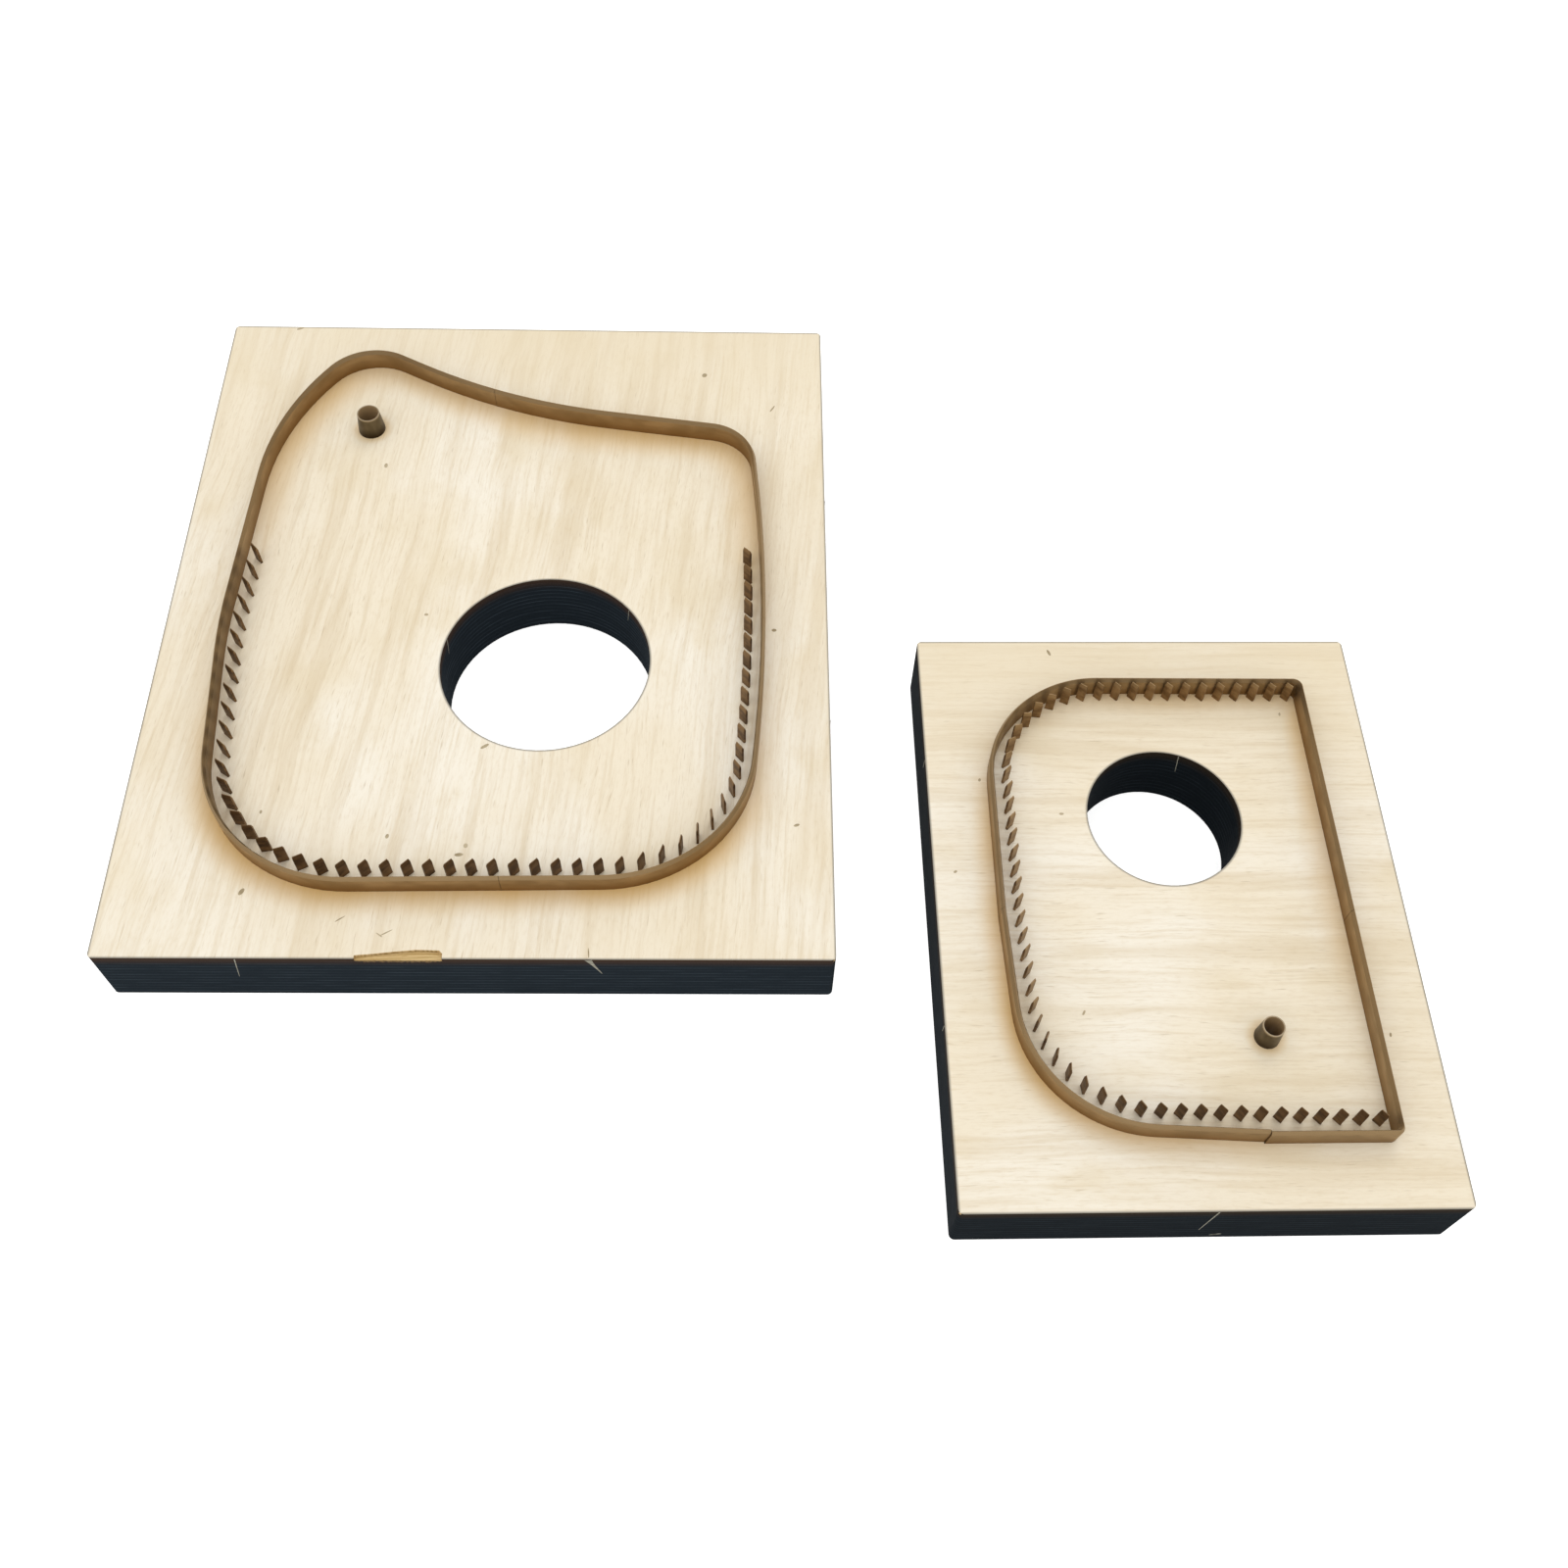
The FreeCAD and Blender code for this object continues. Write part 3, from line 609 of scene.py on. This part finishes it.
@dataclass(frozen=True)
class ToothSteel:
    """Blackened spring steel teeth, oiled: dark brown to the eye, and lighter at the ground point."""

    name: str = "blackened_tooth_steel"
    body: str = "#84694A"
    dark: str = "#604A32"
    ground: str = "#947A5A"
    shoulder: float = 22.5

    def material(self) -> bpy.types.Material:
        """The finished material.

        Returns:
            Dark brown metal, a little lighter at the points.
        """
        material, tree = new_material(self.name)
        place = add_node(tree, "ShaderNodeTexCoord", {}).outputs["Object"]
        height = add_node(tree, "ShaderNodeSeparateXYZ", {0: place}).outputs[2]
        stain = streaks(tree, place, (4, 4, 2), 2.0)
        grind = streaks(tree, place, (0.4, 0.4, 4), 2.0)
        colour = blend_colour(tree, ramp(tree, stain, 0.35, 0.65), linear(self.body), linear(self.dark))
        point = ramp(tree, height, (self.shoulder - 0.1) * MM, (self.shoulder + 0.6) * MM, 0.6)
        colour = blend_colour(tree, point, colour, linear(self.ground))
        finish_surface(tree, colour, 0.5, grind, 0.01, {"Metallic": 1.0})
        return material


@dataclass(frozen=True)
class TubeSteel:
    """Turned steel punch tube, browned like the rule, with a bright ground rim and a dull, sooty bore."""

    name: str
    axis: tuple[float, float]
    body: str = "#6E614B"
    dark: str = "#544834"
    foot: str = "#33281A"
    ground: str = "#A5947A"
    bore: str = "#A58A64"
    board_top: float = 18.0
    rim: float = 23.8

    def material(self) -> bpy.types.Material:
        """The finished material.

        Returns:
            Grey-brown metal, darker at the foot by painted shade and lighter at the rim, and dull where it faces its
            axis.
        """
        material, tree = new_material(self.name)
        coordinates = add_node(tree, "ShaderNodeTexCoord", {})
        place, normal = coordinates.outputs["Object"], coordinates.outputs["Normal"]
        height = add_node(tree, "ShaderNodeSeparateXYZ", {0: place}).outputs[2]
        rings = streaks(tree, place, (30, 30, 0.35), 2.0)
        stain = streaks(tree, place, (3, 3, 6), 2.0)
        colour = blend_colour(tree, ramp(tree, stain, 0.3, 0.7), linear(self.body), linear(self.dark))
        # Painted shade: the tube darkens towards its foot, where it meets the board.
        foot = ramp(tree, height, (self.board_top + 3.5) * MM, self.board_top * MM, 0.9)
        colour = blend_colour(tree, foot, colour, linear(self.foot))
        rim = ramp(tree, height, (self.rim - 0.6) * MM, self.rim * MM)
        colour = blend_colour(tree, rim, colour, linear(self.ground))
        middle = (self.axis[0] * MM, self.axis[1] * MM, 0.0)
        offset = add_node(tree, "ShaderNodeVectorMath", {0: place, 1: middle}, operation="SUBTRACT").outputs[0]
        outwards = add_node(tree, "ShaderNodeVectorMath", {0: offset, 1: normal}, operation="DOT_PRODUCT")
        inner = reckon(tree, "LESS_THAN", outwards.outputs["Value"], 0.0)
        colour = blend_colour(tree, inner, colour, linear(self.bore))
        finish_surface(tree, colour, 0.42, rings, 0.01, {"Metallic": reckon(tree, "SUBTRACT", 1.0, inner)})
        return material


@dataclass(frozen=True)
class TornFibre:
    """Bare birch fibre, torn and never burnt: pale, dull and streaked along its length."""

    name: str
    light: str
    deep: str
    streak_lengths: tuple[float, float, float] = (12.0, 0.35, 0.5)

    def material(self) -> bpy.types.Material:
        """The finished material.

        Returns:
            Dull wood with fibres as wide as the streaks' second length.
        """
        material, tree = new_material(self.name)
        place = add_node(tree, "ShaderNodeTexCoord", {}).outputs["Object"]
        fibres = streaks(tree, place, self.streak_lengths, 3.0)
        colour = blend_colour(tree, ramp(tree, fibres, 0.35, 0.65), linear(self.light), linear(self.deep))
        finish_surface(tree, colour, 0.8, fibres, 0.05, {"Specular IOR Level": 0.2})
        return material


@dataclass(frozen=True)
class Nib:
    """A splinter of torn fibre where the board broke off its last uncut tab, drawn down a sawn wall."""

    right: float
    back: float
    outward: float
    start: float
    drop: float
    lean: float
    width: float = 0.3
    taper: float = 0.9
    proud: float = 0.12
    steps: int = 7

    def build(self, shape: bmesh.types.BMesh) -> None:
        """Adds the splinter to a mesh, in the board's own millimetres.

        Args:
            shape: the mesh that it joins.
        """
        ring = bmesh.ops.create_circle(shape, cap_ends=True, segments=8, radius=self.width / 2)["verts"]
        bmesh.ops.scale(shape, verts=ring, vec=(1.0, 2 * self.proud / self.width, 1.0))
        wall = Matrix.Rotation(math.radians(self.outward - 90), 3, "Z")
        bmesh.ops.rotate(shape, verts=ring, matrix=wall)
        bmesh.ops.translate(shape, verts=ring, vec=(self.right, self.back, self.start))
        aside = wall @ Vector((1, 0, 0))
        face = ring[0].link_faces[0]
        centre = Vector((self.right, self.back, self.start))
        for i in range(self.steps):
            move = aside * (self.lean / self.steps) - Vector((0, 0, self.drop / self.steps))
            centre = centre + move
            face = bmesh.ops.extrude_discrete_faces(shape, faces=[face])["faces"][0]
            bmesh.ops.translate(shape, verts=face.verts, vec=move)
            thinner = self.taper * 0.7 if i == self.steps - 1 else self.taper
            bmesh.ops.scale(
                shape, verts=face.verts, vec=(thinner, thinner, 1.0), space=Matrix.Translation(-centre)
            )


@dataclass(frozen=True)
class Blemish:
    """A small dark dent or scratch in the face veneer, a few hundredths of a millimetre proud at its lip."""

    right: float
    back: float
    length: float
    width: float
    turn: float
    lip: float = 0.03

    def build(self, shape: bmesh.types.BMesh, top: float) -> None:
        """Adds the mark to a mesh, in the board's own millimetres.

        Args:
            shape: the mesh that it joins.
            top: height of the face.
        """
        ring = bmesh.ops.create_circle(shape, cap_ends=True, segments=12, radius=0.5)["verts"]
        face = ring[0].link_faces[0]
        raised = bmesh.ops.extrude_discrete_faces(shape, faces=[face])["faces"][0]
        bmesh.ops.scale(shape, verts=raised.verts, vec=(0.7, 0.7, 1.0))
        bmesh.ops.translate(shape, verts=raised.verts, vec=(0, 0, self.lip))
        whole = list({*ring, *raised.verts})
        bmesh.ops.scale(shape, verts=whole, vec=(self.length, self.width, 1.0))
        bmesh.ops.rotate(shape, verts=whole, matrix=Matrix.Rotation(math.radians(self.turn), 3, "Z"))
        bmesh.ops.translate(shape, verts=whole, vec=(self.right, self.back, top))


@dataclass(frozen=True)
class TornChip:
    """Ragged cross-grain fibres in the floor of the chip at the board's front edge."""

    left: float = -23.1
    right: float = -4.9
    front: float = -94.95
    reach: float = 2.05
    floor: float = 17.12
    ridge: float = 0.4
    outline: tuple[tuple[float, float], ...] = (
        (0.0, 0.38),
        (0.2, 0.52),
        (0.45, 0.78),
        (0.7, 1.0),
        (0.95, 0.93),
        (1.0, 0.6),
    )
    fibre_thickness: float = 0.06
    lip_drop: float = 1.3
    lip_proud: float = 0.07
    lip_thickness: float = 0.04
    lip_columns: int = 60
    lip_rows: int = 3
    columns: int = 40
    rows: int = 7
    seed: int = 7

    def build_lip(self, shape: bmesh.types.BMesh) -> None:
        """Adds the frayed lip that hangs from the floor's front edge, in the board's own millimetres.

        Args:
            shape: the mesh that it joins.
        """
        chance = random.Random(self.seed + 1)
        grid = bmesh.ops.create_grid(shape, x_segments=self.lip_columns, y_segments=self.lip_rows, size=0.5)["verts"]
        bmesh.ops.translate(shape, verts=grid, vec=(0.5, 0.5, 0.0))
        drops = [self.lip_drop * chance.uniform(0.35, 1.0) for _ in range(self.lip_columns + 1)]
        for vert in grid:
            share, depth = vert.co.x, vert.co.y
            taper = min(1.0, share * 8 + 0.3, (1 - share) * 8 + 0.3)
            drop = drops[round(share * self.lip_columns)] * taper
            right = self.left + (self.right - self.left) * share
            proud = self.lip_proud * math.sin(math.pi * (0.2 + 0.8 * depth))
            vert.co = Vector((right, self.front - proud, self.floor - 0.05 - drop * depth))
        bmesh.ops.solidify(shape, geom=shape.faces[:], thickness=self.lip_thickness)

    def reach_at(self, share: float) -> float:
        """How far the chip reaches in from the front edge, at a share of its length."""
        for (start, low), (end, high) in zip(self.outline, self.outline[1:]):
            if share <= end:
                return self.reach * (low + (high - low) * (share - start) / (end - start))
        return self.reach * self.outline[-1][1]

    def build(self, shape: bmesh.types.BMesh) -> None:
        """Adds the fibres to a mesh, in the board's own millimetres.

        Args:
            shape: the mesh that they join.
        """
        chance = random.Random(self.seed)
        grid = bmesh.ops.create_grid(shape, x_segments=self.columns, y_segments=self.rows, size=0.5)["verts"]
        bmesh.ops.translate(shape, verts=grid, vec=(0.5, 0.5, 0.0))
        ridges = [chance.uniform(0.25, 1.0) for _ in range(self.rows + 1)]
        for vert in grid:
            share, depth = vert.co.x, vert.co.y
            taper = min(1.0, share * 5, (1 - share) * 12)
            height = self.ridge * ridges[round(depth * self.rows)] * taper * chance.uniform(0.6, 1.0)
            right = self.left + (self.right - self.left) * share
            vert.co = Vector((right, self.front + self.reach_at(share) * depth, self.floor + height))
        bmesh.ops.solidify(shape, geom=shape.faces[:], thickness=self.fibre_thickness)


@dataclass
class CuttingDie:
    """One die: its board, rule, teeth and tube, and the finish of each."""

    body: Body
    prefix: str
    plywood: BirchPlywood
    nibs: tuple[Nib, ...]
    blemishes: tuple[Blemish, ...]
    chip: TornChip | None = None

    def dress(self, finishes: dict[str, bpy.types.Material]) -> None:
        """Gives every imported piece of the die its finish.

        Args:
            finishes: the finish of each kind of piece, and of single pieces that differ from their kind.
        """
        board = self.plywood.material()
        for name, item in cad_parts.items():
            if not name.startswith(self.prefix):
                continue
            kind = name.removeprefix(self.prefix).split("_")[0]
            finish = board if kind == "board" else finishes.get(name, finishes.get(kind))
            item.data.materials.clear()
            item.data.materials.append(finish)
            LOG.info("dressed %s in %s", name, finish.name)

    def add_details(
        self,
        nib_fibre: bpy.types.Material,
        chip_fibre: bpy.types.Material,
        singed_fibre: bpy.types.Material,
        bruise: bpy.types.Material,
    ) -> None:
        """Adds the small marks of making and use to the board.

        Args:
            nib_fibre: torn wood of the tabs.
            chip_fibre: torn wood of the chip's floor.
            singed_fibre: torn wood below the chip.
            bruise: dented and dirty wood.
        """
        shape = bmesh.new()
        for nib in self.nibs:
            nib.build(shape)
        self.add_piece("torn_nibs", shape, nib_fibre)
        shape = bmesh.new()
        for blemish in self.blemishes:
            blemish.build(shape, self.plywood.thickness)
        self.add_piece("face_blemishes", shape, bruise)
        if self.chip:
            shape = bmesh.new()
            self.chip.build(shape)
            self.add_piece("torn_chip_fibres", shape, chip_fibre)
            shape = bmesh.new()
            self.chip.build_lip(shape)
            self.add_piece("torn_chip_lip", shape, singed_fibre)

    def add_piece(self, name: str, shape: bmesh.types.BMesh, material: bpy.types.Material) -> None:
        """Puts a finished mesh on the die.

        Args:
            name: the piece's name after the die's.
            shape: the mesh, in the board's own millimetres; it is used up.
            material: its finish.
        """
        bmesh.ops.recalc_face_normals(shape, faces=shape.faces)
        bmesh.ops.transform(shape, matrix=self.plywood.place.matrix(), verts=shape.verts)
        mesh = bpy.data.meshes.new(self.prefix + name)
        shape.to_mesh(mesh)
        shape.free()
        mesh.materials.append(material)
        piece = bpy.data.objects.new(self.prefix + name, mesh)
        bpy.context.scene.collection.objects.link(piece)
        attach(piece, self.body.value)
        LOG.info("built %s with %d faces", piece.name, len(mesh.polygons))


@dataclass
class Studio:
    """Pale floor, plain soft light and the camera of the photograph."""

    camera_place: tuple[float, float, float] = (48.52, -226.18, 335.27)
    camera_turn: tuple[float, float, float] = (0.54526, -0.02245, -0.00664)
    lens: float = 37.1681
    floor_size: float = 6000.0
    floor_drop: float = 0.05
    key_watts: float = 8.0
    fill_watts: float = 9.0
    sky: float = 0.88

    def build(self) -> None:
        """Puts up floor, light and camera."""
        self.floor()
        self.light("key_softbox", (600.0, 1700.0, 2200.0), 1200.0, self.key_watts)
        self.light("fill_softbox", (-900.0, -1500.0, 2400.0), 2000.0, self.fill_watts)
        self.world()
        self.camera()

    def floor(self) -> None:
        """A white floor that keeps the shadow of what stands on it."""
        mesh = bpy.data.meshes.new("studio_floor")
        shape = bmesh.new()
        bmesh.ops.create_grid(shape, x_segments=1, y_segments=1, size=self.floor_size / 2 * MM)
        bmesh.ops.translate(shape, verts=shape.verts, vec=(0, 0, -self.floor_drop * MM))
        shape.to_mesh(mesh)
        shape.free()
        floor = bpy.data.objects.new("studio_floor", mesh)
        bpy.context.scene.collection.objects.link(floor)
        material, tree = new_material("white_paper_floor")
        rays = add_node(tree, "ShaderNodeLightPath", {})
        seen = reckon(tree, "MAXIMUM", rays.outputs["Is Camera Ray"], rays.outputs["Is Glossy Ray"])
        seen = reckon(tree, "MAXIMUM", seen, rays.outputs["Is Transmission Ray"])
        paper = add_node(tree, "ShaderNodeBsdfDiffuse", {"Color": linear("#F4F4F2")})
        glow = add_node(tree, "ShaderNodeEmission", {"Strength": reckon(tree, "MULTIPLY", seen, 0.72)})
        both = add_node(tree, "ShaderNodeAddShader", {0: paper.outputs[0], 1: glow.outputs[0]})
        add_node(tree, "ShaderNodeOutputMaterial", {"Surface": both.outputs[0]})
        mesh.materials.append(material)

    def light(self, name: str, place: tuple[float, float, float], size: float, watts: float) -> None:
        """A square softbox that points at the middle of the set.

        Args:
            name: the lamp's name.
            place: where it hangs.
            size: its side.
            watts: its power.
        """
        lamp = bpy.data.lights.new(name, "AREA")
        lamp.shape = "SQUARE"
        lamp.size = size * MM
        lamp.energy = watts
        item = bpy.data.objects.new(name, lamp)
        bpy.context.scene.collection.objects.link(item)
        middle = (CAD_BOX[0] + CAD_BOX[1]) / 2
        item.location = Vector(place) * MM
        item.rotation_euler = (middle - item.location).to_track_quat("-Z", "Y").to_euler()

    def world(self) -> None:
        """A white sky: plain soft light on the set, and white where it is seen."""
        world = bpy.data.worlds.new("white_sky")
        bpy.context.scene.world = world
        world.use_nodes = True
        tree = world.node_tree
        tree.nodes.clear()
        rays = add_node(tree, "ShaderNodeLightPath", {})
        seen = reckon(tree, "MAXIMUM", rays.outputs["Is Camera Ray"], rays.outputs["Is Transmission Ray"])
        strength = add_node(tree, "ShaderNodeMix", {0: seen, 2: self.sky, 3: 1.0}).outputs[0]
        sky = add_node(tree, "ShaderNodeBackground", {"Color": (1.0, 1.0, 1.0, 1.0), "Strength": strength})
        add_node(tree, "ShaderNodeOutputWorld", {"Surface": sky.outputs[0]})

    def camera(self) -> None:
        """The photograph's viewpoint."""
        lens = bpy.data.cameras.new("photo_camera")
        lens.sensor_width = 36.0
        lens.lens = self.lens
        lens.clip_start = 0.01
        camera = bpy.data.objects.new("photo_camera", lens)
        bpy.context.scene.collection.objects.link(camera)
        camera.location = Vector(self.camera_place) * MM
        camera.rotation_euler = Euler(self.camera_turn)
        bpy.context.scene.camera = camera
        bpy.context.scene.view_settings.view_transform = "Standard"


def main() -> None:
    """Builds the whole scene."""
    logging.basicConfig(level=logging.INFO, format="%(message)s")
    large_place = BoardPlace(-12.1, 16.9, 0.0, 160.0, 190.0)
    small_place = BoardPlace(142.1, -62.6, 0.6, 104.0, 140.0)
    # Painted shade beside the rules and round the tubes of each die, falling away from the key light.
    large_painted_shade = PaintedShade(
        centre=(-16.0, 12.0),
        tube=(-50.4, 74.5),
        tube_radius=3.4,
        rules=("large_rule_right_lower", "large_rule_right_upper", "large_rule_left"),
        inner_reach=12.0,
        outer_reach=9.0,
        inner_depth=0.75,
        outer_depth=0.9,
        inner_shade_direction=(-0.1, -1.0),
        outer_shade_direction=(0.0, -1.0),
    )
    small_painted_shade = PaintedShade(
        centre=(142.0, -62.6),
        tube=(158.345, -95.432),
        tube_radius=2.7,
        rules=("small_rule_upper", "small_rule_lower", "small_rule_right"),
        inner_reach=8.0,
        outer_reach=7.0,
        inner_depth=0.55,
        outer_depth=0.9,
        inner_shade_direction=(-0.7, -0.7),
        outer_shade_direction=(-1.0, -0.6),
    )
    large_hole = Hole(12.1, -16.9, 25.0)
    small_hole = Hole(1.6, 20.6, 17.5)
    large_nibs = [
        Nib(-48.7, -95.0, -90.0, 17.9, 9.0, 1.2),
        Nib(26.6, -95.0, -90.0, 17.9, 7.0, -2.6, width=1.7, taper=0.74),
        Nib(80.0, 34.3, 0.0, 17.9, 4.0, 0.6),
        Nib(80.0, -33.1, 0.0, 17.9, 4.0, 0.6),
    ]
    for angle in (39.5, 164.6):
        spot = large_hole.on_wall(angle)
        large_nibs.append(Nib(spot.x, spot.y, angle + 180, 17.8, 5.0, 0.8))
    spot = small_hole.on_wall(70.7)
    small_nibs = [
        Nib(0.2, -70.0, -90.0, 17.9, 12.5, 1.3),
        Nib(4.2, -70.0, -90.0, 2.6, 0.9, 2.2),
        Nib(spot.x, spot.y, 70.7 + 180, 17.8, 6.5, -0.6),
        Nib(-52.0, 36.4, 180.0, 17.6, 4.0, 0.4),
        Nib(-52.0, -29.7, 180.0, 17.6, 4.0, 0.4),
    ]
    large = CuttingDie(
        Body.LARGE,
        "large_",
        BirchPlywood(
            name="large_birch_plywood",
            grain=Grain.ALONG_DEPTH,
            tilt=-5.0,
            place=large_place,
            painted_shade=large_painted_shade,
            hole=large_hole,
            wander=6.0,
            char="#232A30",
            glue_line="#3C464E",
            brown_char="#46352A",
        ),
        tuple(large_nibs),
        (
            Blemish(-49.8, -79.0, 1.9, 1.0, 60.0),
            Blemish(-19.8, -64.9, 1.2, 0.8, 80.0),
            Blemish(-27.5, -85.5, 2.6, 0.3, 35.0),
            Blemish(-17.2, -88.8, 3.2, 0.3, 30.0),
            Blemish(-18.6, -89.3, 1.8, 0.3, -35.0),
            Blemish(-48.8, -58.8, 1.0, 0.6, 90.0),
            Blemish(-3.4, -69.5, 2.0, 0.9, 5.0),
            Blemish(-2.1, -67.2, 1.0, 1.2, 0.0),
            Blemish(-0.2, -40.9, 2.2, 0.8, 35.0),
            Blemish(26.7, -93.4, 2.4, 0.3, 95.0),
            Blemish(48.4, 78.4, 1.6, 1.3, 60.0),
            Blemish(-33.2, 44.9, 0.9, 1.6, 0.0),
            Blemish(-62.4, 94.4, 2.2, 0.8, 25.0),
            Blemish(66.7, 66.4, 2.6, 0.4, 60.0),
            Blemish(-17.7, -3.0, 1.0, 0.8, 0.0),
            Blemish(71.8, -61.5, 1.4, 0.7, 20.0),
            Blemish(66.9, -6.9, 1.2, 0.9, 0.0),
        ),
        TornChip(),
    )
    small = CuttingDie(
        Body.SMALL,
        "small_",
        BirchPlywood(
            name="small_birch_plywood",
            grain=Grain.ALONG_WIDTH,
            tilt=0.0,
            place=small_place,
            painted_shade=small_painted_shade,
            hole=small_hole,
            wander=5.0,
            char="#181D21",
            glue_line="#2B3339",
            brown_char="#33291F",
        ),
        tuple(small_nibs),
        (
            Blemish(33.1, 48.7, 1.0, 0.5, 80.0),
            Blemish(-21.8, 21.6, 1.1, 0.6, 0.0),
            Blemish(-39.8, 30.7, 0.9, 0.6, 70.0),
            Blemish(-47.1, 6.8, 0.9, 0.6, 30.0),
            Blemish(-22.2, -27.2, 1.3, 0.5, 60.0),
            Blemish(42.4, -32.7, 1.0, 0.5, 80.0),
            Blemish(-20.1, 66.7, 1.9, 0.7, 110.0),
        ),
    )
    # A lighter copy of the tooth steel for the small die's top, upper left and left rows: a painted reflection of
    # the lit board.
    painted_reflection_teeth = ToothSteel("painted_reflection_tooth_steel", "#9C805C", "#7A6040", "#A68D6A").material()
    finishes = {
        "rule": RuleSteel().material(),
        "teeth": ToothSteel().material(),
        "large_punch_tube": TubeSteel("browned_tube_steel", large_painted_shade.tube).material(),
        "small_punch_tube": TubeSteel("browned_small_tube_steel", small_painted_shade.tube).material(),
        "small_teeth_top": painted_reflection_teeth,
        "small_teeth_upper_left": painted_reflection_teeth,
        "small_teeth_left": painted_reflection_teeth,
    }
    nib_fibre = TornFibre("weathered_birch_fibre", "#B0AC9E", "#888474").material()
    chip_fibre = TornFibre("torn_birch_fibre", "#DDC18C", "#B99A62").material()
    singed_fibre = TornFibre("singed_birch_fibre", "#7E6440", "#4C3B28", (0.6, 0.6, 1.2)).material()
    bruise = TornFibre("bruised_birch_face", "#C4B496", "#A39272", (3.0, 3.0, 3.0)).material()
    for die in (large, small):
        die.dress(finishes)
        die.add_details(nib_fibre, chip_fibre, singed_fibre, bruise)
    Studio().build()


if __name__ == "__main__":
    main()
